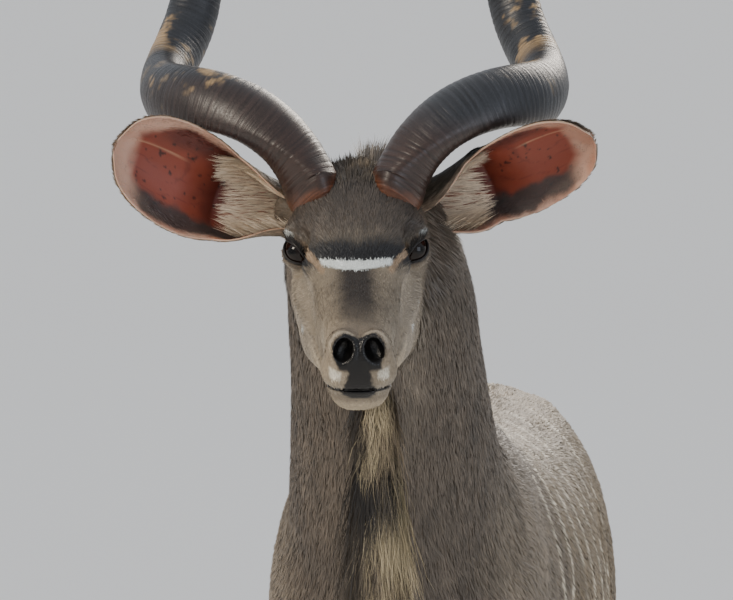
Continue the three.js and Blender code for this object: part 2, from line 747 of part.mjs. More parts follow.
// The tail's locks stand round its end and close together at the tip.
function tuftLocks(row, frame, section, kind) {
  const locks = [];
  for (let i = 0; i < row.count; i++) {
    const at = THREE.MathUtils.lerp(row.from, row.to, i / (row.count - 1));
    const turn = 2.4 * i;
    const [, upward, halfWidth, above] = section(at);
    const out = frame.side.clone().multiplyScalar(Math.cos(turn)).addScaledVector(frame.up, Math.sin(turn));
    const reach = Math.abs(Math.cos(turn)) * halfWidth + Math.abs(Math.sin(turn)) * above - row.sink;
    const root = frame.origin
      .clone()
      .addScaledVector(frame.along, at)
      .addScaledVector(frame.up, upward)
      .addScaledVector(out, reach);
    const leave = frame.along.clone().addScaledVector(out, 0.22).normalize();
    const toward = frame.along.clone().addScaledVector(out, -0.12).normalize();
    const face = new THREE.Vector3().crossVectors(frame.along, out);
    locks.push(lock(root, leave, toward, face, row.length[1] * (1 + 0.12 * vary(i, kind)), row.width));
  }
  return locks;
}

const neckLocks = [...lockRow(NECK_CREST, overNeck, 21), ...throatLocks(FRINGE, 31)];
const backLocks = lockRow(BACK_CREST, overBack, 41);

const napePoint = new THREE.Vector3(0, NAPE_PLANE.y, NAPE_PLANE.z);
const neckPoint = NECK_FOOT.clone().addScaledVector(neckFrame.along, NECK_PLANE);
const napeFacing = Y.clone().negate().applyAxisAngle(X, -radians(NAPE_PLANE.slant));
const aheadOfNape = beyond(napePoint, napeFacing);
const aheadOfNapeGap = beyond(napePoint.clone().addScaledVector(napeFacing, -GAP), napeFacing);
const aheadOfNeck = beyond(neckPoint, neckFrame.along);
const aheadOfNeckGap = beyond(neckPoint.clone().addScaledVector(neckFrame.along, -GAP), neckFrame.along);
const front = joined([torsoFlesh, neckFlesh]);

// The head, with its lids, nostrils and mouth.
let head = skull.intersect(aheadOfNape);
const mouthSlot = plate(
  [
    ...MOUTH_LINE.map(([along, up]) => [along, up + MOUTH_WIDTH / 2]),
    ...MOUTH_LINE.toReversed().map(([along, up]) => [along, up - MOUTH_WIDTH / 2]),
  ],
  { origin: headFrame.origin, first: headFrame.along, second: headFrame.up, depth: headFrame.side.clone().negate() },
  -90,
  90,
);
const mouthFloor = joined([
  bodyPart(HEAD, headFrame, 22, 19, -MOUTH_DEPTH),
  bodyPart(JAW, headFrame, 14, 7, -MOUTH_DEPTH),
]);
head = head.subtract(mouthSlot.subtract(mouthFloor));
const headAxes = [headFrame.side, headFrame.along, headFrame.up];
for (const side of Object.values(SIDES)) {
  const center = onHead(side * EYE.x, EYE.along, EYE.up);
  const gaze = headDirection(side * EYE_GAZE.x, EYE_GAZE.along, EYE_GAZE.up);
  head = head
    .add(ellipsoid(onHead(side * BROW.x, BROW.along, BROW.up), BROW.size, headAxes, 12))
    .add(ball(center, EYE_RADIUS + LID_DEPTH, 14))
    .subtract(ball(center, EYE_RADIUS + GAP, 13))
    .subtract(lidOpening(center, gaze, side))
    .subtract(ellipsoid(onHead(side * NOSTRIL.x, NOSTRIL.along, NOSTRIL.up), NOSTRIL.size, headAxes, 8));
}
addNode("head", head, hide);

// The neck's locks stop at the skin of the head and of the chest, and the back's locks at those of the neck.
const neckOnly = front.intersect(aheadOfNeck).subtract(aheadOfNapeGap);
const neckWithLocks = joined([neckOnly, ...neckLocks])
  .subtract(skullGrown.intersect(aheadOfNapeGap))
  .subtract(chestGrown.subtract(aheadOfNeck));
addNode("neck", neckWithLocks, hide);
const crest = joined(backLocks)
  .subtract(joined(lockRow(NECK_CREST, overNeck, 21, GAP)))
  .subtract(chestGrown.intersect(aheadOfNeckGap));

// The trunk takes what lies behind the neck, less the shoulders and the thighs.
let trunk = front.subtract(aheadOfNeckGap).add(crest);
for (const [name, side] of Object.entries(SIDES)) {
  for (const [place, leg, block] of [["front", FRONT_LEG, SHOULDER], ["hind", HIND_LEG, THIGH]]) {
    const limb = legFlesh(leg, side);
    const upper = joined([front, limb]).intersect(legBlock(block, side, 0)).subtract(aheadOfNeckGap);
    addNode(`leg_${place}_${name}`, upper.add(limb.subtract(torsoGrown)), hide);
    trunk = trunk.subtract(legBlock(block, side, GAP));
    const [x, y] = leg.rows[0].slice(1);
    for (const [toe, which] of [["inner", -side], ["outer", side]]) {
      const origin = new THREE.Vector3(side * x + which * TOE_SPREAD, y - TOE_FORWARD, 0);
      const hoof = bodyPart(TOE, { ...legFrame(1), origin }, 12, 3);
      addNode(`hoof_${place}_${name}_${toe}`, hoof, hoofHorn);
    }
  }
  addNode(`horn_${name}`, horn(name).subtract(skullGrown), hornSheath);
  addNode(`ear_${name}`, ear(name, EAR_WALL).subtract(skullGrown).subtract(horn(name, GAP)), earHide);
  addNode(`eye_${name}`, ball(onHead(side * EYE.x, EYE.along, EYE.up), EYE_RADIUS, 13), eyeGloss);
}
addNode("torso", trunk, hide);
const tailFrame = frameBetween(TAIL_ROOT, TAIL_TIP);
const dock = bodyPart(TAIL, tailFrame, 10, 10).subtract(torsoGrown);
addNode("tail", joined([dock, ...tuftLocks(TUFT, tailFrame, blended(TAIL.rows), 51)]), hide);

// The animal stands on z = 0, and x and y are taken from the middle of the whole.
kudu.updateMatrixWorld(true);
const reach = new THREE.Box3().setFromObject(kudu);
const middle = reach.getCenter(new THREE.Vector3());
kudu.position.set(-middle.x, -middle.y, -reach.min.z);

export default kudu;
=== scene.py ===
# %% [markdown]
# # A greater kudu bull, dressed
# The solids of the CAD part give the animal's true size and outline. This script dresses them.
# One smooth skin replaces the solids of flesh, a coat of small mesh tufts lies over it, and the horns,
# ears, eyes and hooves are made finer than their solids. Everything stands in the part's own frame, in
# metres, and the animal faces -Y with its left side at +X.

import bmesh
import bpy
import numpy as np
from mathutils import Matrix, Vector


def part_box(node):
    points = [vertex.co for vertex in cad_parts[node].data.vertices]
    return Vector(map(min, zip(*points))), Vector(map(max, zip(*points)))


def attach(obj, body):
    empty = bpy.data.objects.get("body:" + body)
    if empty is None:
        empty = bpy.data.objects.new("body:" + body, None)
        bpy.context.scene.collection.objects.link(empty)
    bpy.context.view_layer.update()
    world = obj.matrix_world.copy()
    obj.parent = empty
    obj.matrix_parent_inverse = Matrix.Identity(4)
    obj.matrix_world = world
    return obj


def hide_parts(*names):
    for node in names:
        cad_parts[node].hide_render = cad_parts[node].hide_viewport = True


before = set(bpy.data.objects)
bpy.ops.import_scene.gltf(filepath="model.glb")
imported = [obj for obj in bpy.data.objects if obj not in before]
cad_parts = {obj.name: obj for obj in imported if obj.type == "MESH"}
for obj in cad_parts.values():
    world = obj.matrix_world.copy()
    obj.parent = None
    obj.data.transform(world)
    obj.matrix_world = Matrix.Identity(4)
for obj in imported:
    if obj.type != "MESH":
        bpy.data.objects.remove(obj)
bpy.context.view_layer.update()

# %% [markdown]
# ## The animal's own sizes
# The tables below are the ones that the solids were made from, in millimetres. A row of a table holds a
# place along the body part, a shift sideways and upward, the half width, and how far the section reaches
# above and below its middle. They are kept in the animal's own frame, whose origin lies between the hooves,
# and one shift carries them to the part's frame. The sole of one hoof gives that shift.

# %% Named sizes of the body
MM = 0.001
COAT_DEPTH = 4.0
HEAD_PITCH, HEAD_YAW, HEAD_ROLL = np.radians([30.5, 7.5, 1.0])
EYE_LINE = np.array([-6.0, -561.0, 1588.0])
NECK_FOOT = np.array([0.0, -20.0, 1130.0])
NECK_HEAD = np.array([-4.0, -470.0, 1590.0])
TAIL_ROOT = np.array([0.0, 1076.0, 1296.0])
TAIL_TIP = np.array([0.0, 1196.0, 800.0])
SIDES = {"right": -1, "left": 1}

TORSO = {
    "ends": (100, 120),
    "flatness": (2.15, 2.2),
    "rows": [
        (-300, 0, 1095, 104, 130, 160), (-200, 0, 1083, 138, 190, 218),
        (-80, 0, 1080, 164, 290, 268), (40, 0, 1070, 180, 330, 288),
        (200, 0, 1065, 198, 305, 292), (400, 0, 1065, 209, 282, 285),
        (600, 0, 1075, 205, 275, 272), (780, 0, 1095, 190, 272, 232),
        (920, 0, 1110, 174, 266, 202), (1040, 0, 1120, 146, 234, 190),
        (1150, 0, 1125, 100, 176, 160),
    ],
}
NECK = {
    "ends": (40, 70),
    "flatness": (1.9, 2.1),
    "rows": [
        (40, 0, 0, 140, 215, 262), (100, 0, 0, 140, 202, 246),
        (200, 2, 0, 137, 180, 224), (320, 5, 0, 128, 154, 190),
        (450, 9, 0, 120, 130, 160), (560, 11, 0, 116, 112, 142),
        (640, 9, 0, 106, 100, 130), (700, 6, 0, 92, 88, 114),
    ],
}
HEAD = {
    "ends": (46, 24),
    "flatness": (2.3, 2.7),
    "rows": [
        (-165, 0, -32, 66, 66, 86), (-110, 0, -26, 76, 80, 106),
        (-60, 0, -16, 84, 82, 122), (-20, 0, -6, 86, 67, 139),
        (20, 0, -4, 82, 57, 137), (60, 0, -10, 75, 55, 119),
        (100, 0, -18, 65, 55, 98), (140, 0, -22, 54, 52, 78),
        (180, 0, -23, 46, 49, 66), (215, 0, -23, 44, 47, 63),
        (240, 0, -22, 43, 46, 59), (266, 0, -20, 38, 40, 46),
    ],
}
JAW = {
    "ends": (30, 30),
    "flatness": (2.6, 3.2),
    "rows": [
        (-75, 0, -76, 60, 40, 60), (-20, 0, -80, 70, 50, 68),
        (30, 0, -78, 73, 50, 65), (70, 0, -74, 71, 46, 54),
        (110, 0, -68, 63, 42, 41), (150, 0, -62, 51, 34, 33),
        (190, 0, -56, 40, 28, 28),
    ],
}
# The legs' rows run upward, and their shift upward in the table is a place along -Y.
FRONT_LEG = {
    "ends": (0, 110),
    "flatness": (2, 2.1),
    "rows": [
        (50, 100, 34, 32, 34, 34), (68, 100, 30, 30, 31, 33),
        (90, 101, 18, 26, 26, 28), (122, 102, 2, 24, 24, 27),
        (158, 103, -4, 25, 25, 29), (200, 104, -3, 21, 22, 25),
        (300, 106, 0, 20, 22, 23), (385, 108, 3, 23, 26, 25),
        (425, 108, 8, 29, 33, 29), (470, 109, 10, 31, 35, 30),
        (520, 110, 9, 28, 32, 31), (620, 112, 8, 31, 38, 38),
        (730, 114, 8, 38, 50, 52), (830, 117, 12, 48, 68, 78),
        (930, 117, 40, 56, 92, 112), (1040, 112, 70, 62, 118, 128),
        (1150, 106, 45, 62, 122, 124), (1260, 96, -5, 52, 100, 100),
        (1350, 84, -30, 40, 84, 90),
    ],
}
HIND_LEG = {
    "ends": (0, 110),
    "flatness": (2, 2.1),
    "rows": [
        (50, 100, -926, 32, 34, 34), (68, 100, -930, 30, 31, 33),
        (90, 101, -944, 26, 26, 28), (125, 102, -962, 24, 25, 28),
        (166, 103, -976, 26, 26, 30), (220, 104, -982, 21, 23, 25),
        (350, 107, -998, 20, 24, 24), (470, 110, -1014, 24, 29, 28),
        (545, 112, -1026, 28, 40, 36), (600, 112, -1026, 30, 44, 48),
        (665, 113, -1000, 32, 46, 56), (745, 115, -957, 40, 72, 74),
        (830, 117, -917, 54, 114, 114), (930, 117, -892, 68, 150, 160),
        (1040, 110, -905, 74, 176, 182), (1150, 102, -920, 70, 160, 166),
        (1250, 90, -935, 56, 120, 122), (1335, 78, -945, 42, 84, 84),
    ],
}
TAIL = {
    "ends": (20, 16),
    "flatness": (2, 2),
    "rows": [
        (0, 0, 0, 24, 20, 24), (60, 0, 18, 31, 27, 34),
        (120, 0, 34, 28, 22, 26), (200, 0, 38, 24, 18, 20),
        (280, 0, 32, 21, 17, 17), (350, 0, 24, 19, 15, 15),
        (410, 0, 16, 14, 11, 11),
    ],
}
TOE = {
    "ends": (0, 0),
    "flatness": (2.2, 3),
    "rows": [
        (0, 0, -9, 15.8, 49, 33), (14, 0, -8, 16, 44, 33),
        (34, 0, -4, 15.8, 34, 32), (49.7, 0, 0, 15.2, 28, 30),
    ],
}
TOE_SPREAD, TOE_FORWARD = 16.3, 4.0
EYE = np.array([67.0, 4.0, 1.0])
EYE_RADIUS = 21.0
TABLES = (TORSO, NECK, HEAD, JAW, FRONT_LEG, HIND_LEG, TAIL, TOE)
print("tables:", sum(len(table["rows"]) for table in TABLES), "rows")

# %% The shift from the animal's frame to the part's
# The inner toe of the left front foot stands round this place in the animal's frame.
TOE_MIDDLE = np.array([FRONT_LEG["rows"][0][1] - TOE_SPREAD, -37.0, 0.0])
low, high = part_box("hoof_front_left_inner")
toe_middle = np.array([(low.x + high.x) / 2, (low.y + high.y) / 2, low.z]) / MM
SHIFT = toe_middle - TOE_MIDDLE
print("shift in mm:", SHIFT.round(2))

# %% [markdown]
# ## Directions
# Each body part has three directions of its own: to its side, along it, and up from it. The head looks down
# by some 30 degrees and is turned a little to its left. Points are carried between frames as whole arrays.

# %% Frames of the body parts
X, Y, Z = np.eye(3)


def unit(v):
    """The vectors v, each divided by its own length."""
    return v / np.maximum(np.linalg.norm(v, axis=-1, keepdims=True), 1e-9)


def turned(v, axis, angle):
    """v turned about an axis: its parts across the axis turn, and its part along it stays."""
    across = v * np.cos(angle) + np.cross(axis, v) * np.sin(angle)
    return across + axis * np.dot(axis, v) * (1 - np.cos(angle))


def frame_between(start, end):
    """The frame of a straight axis between two points, with its side kept level."""
    along = unit(end - start)
    side = unit(np.cross(Z, along))
    return {"origin": start, "axes": np.array([side, along, np.cross(along, side)])}


def head_frame():
    """The head's frame: along runs from the eyes to the nose, pitched down and turned."""
    along = np.array([
        np.sin(HEAD_YAW) * np.cos(HEAD_PITCH),
        -np.cos(HEAD_YAW) * np.cos(HEAD_PITCH),
        -np.sin(HEAD_PITCH),
    ])
    side = turned(np.array([np.cos(HEAD_YAW), np.sin(HEAD_YAW), 0.0]), along, HEAD_ROLL)
    return {"origin": EYE_LINE, "axes": np.array([side, along, np.cross(along, side)])}


def leg_frame(side):
    """A leg's frame: along runs upward, and up points forward."""
    return {"origin": np.zeros(3), "axes": np.array([side * X, Z, -Y])}


def into(points, own):
    """Points of the animal's frame in a part's own side, along and up."""
    return (points - own["origin"]) @ own["axes"].T


def out_of(points, own):
    """Points in a part's own side, along and up, back in the animal's frame."""
    return own["origin"] + np.asarray(points, float) @ own["axes"]


TORSO_FRAME = {"origin": np.zeros(3), "axes": np.array([X, Y, Z])}
NECK_FRAME = frame_between(NECK_FOOT, NECK_HEAD)
HEAD_FRAME = head_frame()
TAIL_FRAME = frame_between(TAIL_ROOT, TAIL_TIP)
print("nose line:", HEAD_FRAME["axes"][1].round(3))

# %% [markdown]
# ## One smooth body
# A skin without seams is easiest as a field: a number for every point in space, below zero inside the body
# and above it outside. Each body part gives its own field, and a smooth minimum melts the parts together
# as flesh does. The skin is the surface where the field is zero.


# %% The field of one body part
def blended(rows, at):
    """A smooth cubic through the rows. At each row its slope is the mean of the slopes on both sides."""
    table = np.array(rows, float)
    places, values = table[:, 0], table[:, 1:]
    steps = np.diff(places)[:, None]
    slopes = np.diff(values, axis=0) / steps
    tangents = np.vstack([slopes[:1], (slopes[:-1] + slopes[1:]) / 2, slopes[-1:]])
    at = np.clip(np.asarray(at, float), places[0], places[-1])
    i = np.clip(np.searchsorted(places, at, side="right") - 1, 0, len(places) - 2)
    step = steps[i]
    t = ((at - places[i]) / step[..., 0])[..., None]
    start = (1 + 2 * t) * (1 - t) ** 2 * values[i] + t * (1 - t) ** 2 * step * tangents[i]
    return start + t * t * (3 - 2 * t) * values[i + 1] + t * t * (t - 1) * step * tangents[i + 1]


TABLE_STEPS = 400


def rows_at(part, at, columns=5):
    """A part's table at places along it: shift sideways and upward, half width, reach above and below."""
    places = np.linspace(part["rows"][0][0], part["rows"][-1][0], TABLE_STEPS)
    table = blended(part["rows"], places)
    return [np.interp(at, places, table[:, k]) for k in range(columns)]


def part_field(own_points, part, inset=COAT_DEPTH):
    """How far points lie outside one body part, in its own frame.
    The gauge is 1 on the section's rounded oval, and it grows as the round end of the part closes. The
    distance is the length of the ray from the middle, less the part of it that lies inside."""
    first, last = part["rows"][0][0], part["rows"][-1][0]
    at = own_points[..., 1]
    side, up, half, above, below = rows_at(part, at)
    x, z = own_points[..., 0] - side, own_points[..., 2] - up
    top = z > 0
    power = np.where(top, *part["flatness"])
    height = np.where(top, above, below) - inset
    gauge = ((np.abs(x) / (half - inset)) ** power + (np.abs(z) / height) ** power) ** (1 / power)
    start, stop = part["ends"]
    left = np.zeros_like(at)
    deep = 0.0
    if start:
        left = np.maximum(left, 1 - (at - first) / start)
        deep = start
    if stop:
        closing = 1 - (last - at) / stop
        deep = np.where(closing > left, stop, deep)
        left = np.maximum(left, closing)
    whole = np.sqrt(gauge**2 + left**2)
    ray = np.sqrt(x**2 + z**2 + (left * deep) ** 2)
    away = ray - ray / np.maximum(whole, 1e-6)
    return away if start else np.maximum(away, first - at)


def ball_field(own_points, center, sizes):
    """How far points lie outside an oval ball: its gauge less 1, times its mean size."""
    scaled = (own_points - np.asarray(center, float)) / np.asarray(sizes, float)
    length = np.linalg.norm(scaled, axis=-1)
    ray = np.linalg.norm(own_points - np.asarray(center, float), axis=-1)
    return ray - ray / np.maximum(length, 1e-6)


def melt(a, b, width):
    """The smooth minimum of two fields: where they differ by less than width, they flow together."""
    near = np.maximum(width - np.abs(a - b), 0) / width
    return np.minimum(a, b) - near * near * width / 4


def carve(a, b, width):
    """Field a with what lies inside b taken away, by an edge rounded over width."""
    return -melt(-a, b, width)


print("neck's middle row:", blended(NECK["rows"], 320).round(1))

# %% [markdown]
# The head gets more than its two stacks of ovals: a brow over each eye, the bone below it, the ear's root,
# a hollow along the cheek, nostrils and lips. Each is an oval ball melted in or carved out, and a groove
# makes the mouth. The legs have the hollow before their tendon, and the trunk those behind the shoulder and
# on the flank.

# %% Helpers for shapes and masks


def ramp(value, start, stop):
    """0 before start and 1 after stop, with a smooth S between. Start may be the larger."""
    t = np.clip((value - start) / (stop - start), 0, 1)
    return t * t * (3 - 2 * t)


def band(value, middle, half, soft):
    """1 within half of the middle, fading over soft on both sides."""
    return ramp(np.abs(value - middle), half + soft, half)


def stacked(*columns):
    """Columns of numbers side by side, as an array's last axis. A lone number fills its column."""
    return np.stack(np.broadcast_arrays(*columns), axis=-1)


def both(own_points):
    """The same points with left and right laid over each other, so that one side's form makes both."""
    mirrored = own_points.copy()
    mirrored[..., 0] = np.abs(own_points[..., 0])
    return mirrored


def shaped(field, own_points, forms):
    """A field with oval balls melted in or carved out, in the order of their table."""
    for join, center, sizes, width in forms:
        field = join(field, ball_field(own_points, center, sizes), width)
    return field


# %% Sizes of the face and the hollows
# A row says how a ball is joined, where its middle lies, its half sizes, and the width that rounds it.
HEAD_FORMS = [
    (melt, (62, -14, 15), (24, 36, 14), 14),  # the brow
    (melt, (57, 60, -38), (12, 62, 9), 22),  # the bone under the eye
    (melt, (60, -114, -14), (38, 36, 36), 20),  # the ear's root
    (carve, (72, 92, -12), (15, 52, 20), 26),  # the cheek's hollow
    (carve, (88, -2, -52), (10, 40, 14), 24),  # the hollow behind the jaw
    (carve, (84, 34, 4), (7, 11, 6), 9),  # the dent before the eye
    (melt, (22, 240, 14), (15, 22, 15), 24),  # the nostril's wing
    (melt, (25, 240, -20), (17, 20, 14), 20),  # the upper lip
]
FRONT_LEG_FORMS = [(carve, (25, 260, -10), (6, 110, 6), 12)]  # between bone and tendon
HIND_LEG_FORMS = [
    (carve, (25, 350, -10), (6, 110, 6), 12),  # between bone and tendon
    (carve, (40, 690, -34), (15, 70, 12), 26),  # above the hock
]
TRUNK_FORMS = [
    (carve, (212, 205, 1060), (16, 52, 210), 46),  # behind the shoulder
    (carve, (218, 705, 1150), (26, 74, 120), 52),  # the flank
    (carve, (150, 660, 1330), (40, 180, 20), 40),  # beside the loin
    (carve, (92, -330, 1010), (20, 60, 120), 40),  # beside the breastbone
]
NOSTRIL = {"center": (18.5, 258, 17), "size": (11, 19, 15)}
NOSTRIL_TURN, NOSTRIL_EDGE = np.radians(24.0), 6
MOUTH_LINE = np.array([
    (300, -33), (265, -35), (250, -37), (230, -42), (200, -49), (160, -51), (132, -45),
], float)
MOUTH_REACH, MOUTH_DEPTH = 2.2, 5
JAW_MELT = 14
EYE_GAZE = unit(np.array([0.53, 0.7, 0.45]))
EYE_FIRST = unit(np.cross(Z, EYE_GAZE))
EYE_SLANT = np.radians(-22)
LID_LENGTH, LID_HEIGHT = 45.0, 11.5
UPPER_LID = 0.78
LID_DEPTH = 2.4
LID_CREASE, CREASE_AWAY = 1.5, 7.5
EYE_ACROSS = np.cross(EYE_GAZE, EYE_FIRST)
EYE_ALONG = EYE_FIRST * np.cos(EYE_SLANT) + EYE_ACROSS * np.sin(EYE_SLANT)
EYE_AXES = np.array([EYE_ALONG, np.cross(EYE_GAZE, EYE_ALONG), EYE_GAZE])


def in_eye(own_points):
    """Points of the head, laid over the left side, in the left eye's own directions: along the lids'
    opening, across it, and out along the gaze."""
    return (both(own_points) - EYE) @ EYE_AXES.T


def lid_opening(eye_points):
    """How far points lie outside the lids' opening, an almond: its half height falls as the square of the
    distance along it, and the upper lid hangs lower."""
    x, y = eye_points[..., 0], eye_points[..., 1]
    return np.abs(y) - LID_HEIGHT * np.where(y > 0, UPPER_LID, 1) * (1 - (2 * x / LID_LENGTH) ** 2)


def line_distance(flat_points, line):
    """Distance from points of a plane to a line of straight pieces."""
    best = np.full(flat_points.shape[:-1], 1e9)
    for a, b in zip(line[:-1], line[1:]):
        run = b - a
        share = np.clip(((flat_points - a) @ run) / (run @ run), 0, 1)
        best = np.minimum(best, np.linalg.norm(flat_points - a - share[..., None] * run, axis=-1))
    return best


def head_field(own_points):
    """The head: skull and jaw melted together, then the face's forms, nostrils, mouth, lids and eyes."""
    p = both(own_points)
    skull = melt(part_field(own_points, HEAD), part_field(own_points, JAW), JAW_MELT)
    field = shaped(skull, p, HEAD_FORMS)
    q = p - np.array(NOSTRIL["center"])
    turned_in = stacked(
        q[..., 0] * np.cos(NOSTRIL_TURN) + q[..., 2] * np.sin(NOSTRIL_TURN),
        q[..., 1],
        q[..., 2] * np.cos(NOSTRIL_TURN) - q[..., 0] * np.sin(NOSTRIL_TURN),
)
    field = carve(field, ball_field(turned_in, (0, 0, 0), NOSTRIL["size"]), NOSTRIL_EDGE)
    mouth = line_distance(p[..., 1:], MOUTH_LINE) - MOUTH_REACH
    field = carve(field, np.maximum(mouth, -(field + MOUTH_DEPTH)), 3)
    eye_points = in_eye(own_points)
    from_gaze, ahead = np.linalg.norm(eye_points[..., :2], axis=-1), eye_points[..., 2]
    opening = lid_opening(eye_points)
    lids = np.linalg.norm(eye_points, axis=-1) - (EYE_RADIUS + LID_DEPTH)
    crease = LID_CREASE * band(opening, CREASE_AWAY, 0, 3) * (eye_points[..., 1] > 0)
    round_eye = ramp(from_gaze, 36, 19) * ramp(ahead, -6, 10)
    field = field * (1 - round_eye) + (lids + crease) * round_eye
    return carve(field, np.maximum(0.8 * opening, -ahead), 1)


def leg_field(own_points, leg, forms):
    """A leg: its stack with its hollows, which lie at the same height as its middle line."""
    side, up = rows_at(leg, own_points[..., 1], 2)
    q = stacked(np.abs(own_points[..., 0] - side), own_points[..., 1], own_points[..., 2] - up)
    return shaped(part_field(own_points, leg), q, forms)


def front_leg(p):
    """The field of a front leg."""
    return leg_field(p, FRONT_LEG, FRONT_LEG_FORMS)


def hind_leg(p):
    """The field of a hind leg."""
    return leg_field(p, HIND_LEG, HIND_LEG_FORMS)


# Each body part: its name, its frame, its field, and the width over which it melts into the rest.
BODY = [
    ("torso", TORSO_FRAME, lambda p: shaped(part_field(p, TORSO), both(p), TRUNK_FORMS), 1),
    ("neck", NECK_FRAME, lambda p: part_field(p, NECK), 60),
    ("head", HEAD_FRAME, head_field, 26),
    ("front_right", leg_frame(-1), front_leg, 42),
    ("front_left", leg_frame(1), front_leg, 42),
    ("hind_right", leg_frame(-1), hind_leg, 42),
    ("hind_left", leg_frame(1), hind_leg, 42),
    ("tail", TAIL_FRAME, lambda p: part_field(p, TAIL), 16),
]
PART_NAMES = np.array([entry[0] for entry in BODY])
PARTS = {"torso": TORSO, "neck": NECK, "head": HEAD, "front_right": FRONT_LEG, "front_left": FRONT_LEG,
         "hind_right": HIND_LEG, "hind_left": HIND_LEG, "tail": TAIL}
# The box that each part can reach, and how much wider it is looked at.
REACH_MARGIN = 30
REACH = {
    "torso": ((-230, -320, 780), (230, 1165, 1420)),
    "neck": ((-180, -700, 830), (180, 240, 1800)),
    "head": ((-130, -860, 1330), (150, -370, 1740)),
    "front_right": ((-200, -210, 49), (-20, 190, 1365)),
    "front_left": ((20, -210, 49), (200, 190, 1365)),
    "hind_right": ((-210, 660, 49), (-20, 1150, 1350)),
    "hind_left": ((20, 660, 49), (210, 1150, 1350)),
    "tail": ((-50, 1040, 840), (50, 1240, 1330)),
}
FAR_OUT = 500.0


def inside_box(points, name, margin):
    """Which points lie in the box that one body part can reach."""
    low_corner, high_corner = (np.array(corner, float) for corner in REACH[name])
    return np.all((points >= low_corner - margin) & (points <= high_corner + margin), axis=-1)


def body_field(points):
    """The whole body's field at loose points."""
    field = np.full(len(points), FAR_OUT)
    for name, own, shape, width in BODY:
        near = inside_box(points, name, REACH_MARGIN)
        field[near] = melt(field[near], shape(into(points[near], own)), width)
    return field


# %% [markdown]
# ## From the field to a mesh
# The field is worked out on a block of grid points, close together round the muzzle and the head and wider
# over the body. Every cell that the surface crosses gets one vertex, at the mean of the crossings on its
# edges, and every grid edge that it crosses gets one square between the four cells round it. This is known
# as surface nets, and it gives an even, closed mesh of squares. Two steps of Newton's method then carry
# each vertex onto the surface exactly.


# %% Surface nets
def graded(*stops):
    """Grid places with a spacing for each stretch: stops are place, spacing, place, spacing, ..., place."""
    places = [np.array([stops[0]], float)]
    for i in range(0, len(stops) - 2, 2):
        start, spacing, stop = stops[i:i + 3]
        count = max(1, round((stop - start) / spacing))
        places.append(np.linspace(start, stop, count + 1)[1:])
    return np.concatenate(places)


GRID = (
    graded(-236, 10, -110, 6.3, 122, 10, 236),
    graded(-838, 6.2, -436, 11, 1240),
    graded(41, 11, 1330, 6.2, 1704, 10, 1740),
)


def grid_field(grid):
    """The body's field on the whole grid, each part worked out only in its own box."""
    field = np.full([len(axis) for axis in grid], FAR_OUT, np.float32)
    for name, own, shape, width in BODY:
        spans = []
        for axis, low_end, high_end in zip(grid, *REACH[name]):
            ends = (low_end - REACH_MARGIN, high_end + REACH_MARGIN)
            spans.append(slice(*np.searchsorted(axis, ends)))
        places = (axis[span] for axis, span in zip(grid, spans))
        block = np.stack(np.meshgrid(*places, indexing="ij"), axis=-1)
        part = shape(into(block, own))
        field[tuple(spans)] = melt(field[tuple(spans)], part, width)
    return field


def surface_nets(grid, field):
    """Vertices and outward squares of the surface where the field is zero."""
    inside = field < 0
    cells = np.zeros([n - 1 for n in field.shape], np.uint8)
    corners = [(i, j, k) for i in (0, 1) for j in (0, 1) for k in (0, 1)]
    for i, j, k in corners:
        cells += inside[i:inside.shape[0] - 1 + i, j:inside.shape[1] - 1 + j, k:inside.shape[2] - 1 + k]
    where = np.nonzero((cells > 0) & (cells < 8))
    number = np.full(cells.shape, -1, np.int32)
    number[where] = np.arange(len(where[0]))
    total, crossings = np.zeros((len(where[0]), 3)), np.zeros(len(where[0]))
    for axis in range(3):
        others = [a for a in range(3) if a != axis]
        for u in (0, 1):
            for v in (0, 1):
                first = list(where)
                first[others[0]] = where[others[0]] + u
                first[others[1]] = where[others[1]] + v
                second = list(first)
                second[axis] = first[axis] + 1
                a, b = field[tuple(first)].astype(float), field[tuple(second)].astype(float)
                crossed = (a < 0) != (b < 0)
                share = np.where(crossed, a / np.where(crossed, a - b, 1), 0)
                point = np.stack([grid[n][first[n]] for n in range(3)], axis=-1)
                point[:, axis] += share * (grid[axis][second[axis]] - grid[axis][first[axis]])
                total += point * crossed[:, None]
                crossings += crossed
    vertices = total / crossings[:, None]
    squares = []
    for axis in range(3):
        b, c = (axis + 1) % 3, (axis + 2) % 3
        low_side = np.take(inside, range(inside.shape[axis] - 1), axis)
        high_side = np.take(inside, range(1, inside.shape[axis]), axis)
        edge = np.array(np.nonzero(low_side != high_side))
        edge = edge[:, (edge[b] > 0) & (edge[c] > 0)]
        ring = []
        for db, dc in ((-1, -1), (0, -1), (0, 0), (-1, 0)):
            cell = edge.copy()
            cell[b] += db
            cell[c] += dc
            ring.append(number[tuple(cell)])
        ring = np.stack(ring, axis=-1)
        outward = low_side[tuple(edge)]
        squares.append(np.where(outward[:, None], ring, ring[:, ::-1]))
    return vertices, np.concatenate(squares)


def onto_surface(points, field_of, steps=2):
    """Newton's method: each point moves down the field's slope by the field over the slope's length."""
    reach, least_slope, longest_step = 0.5, 0.05, 4
    for _ in range(steps):
        value = field_of(points)
        slope = np.stack([
            field_of(points + reach * axis) - field_of(points - reach * axis) for axis in np.eye(3)
        ], axis=-1) / (2 * reach)
        steep = np.maximum((slope**2).sum(-1), least_slope)
        points = points - slope * np.clip(value / steep, -longest_step, longest_step)[:, None]
    return points


body_grid = grid_field(GRID)
skin_points, skin_faces = surface_nets(GRID, body_grid)
skin_points = onto_surface(skin_points, body_field)
print("grid:", body_grid.shape, "skin:", len(skin_points), "vertices,", len(skin_faces), "squares")
del body_grid

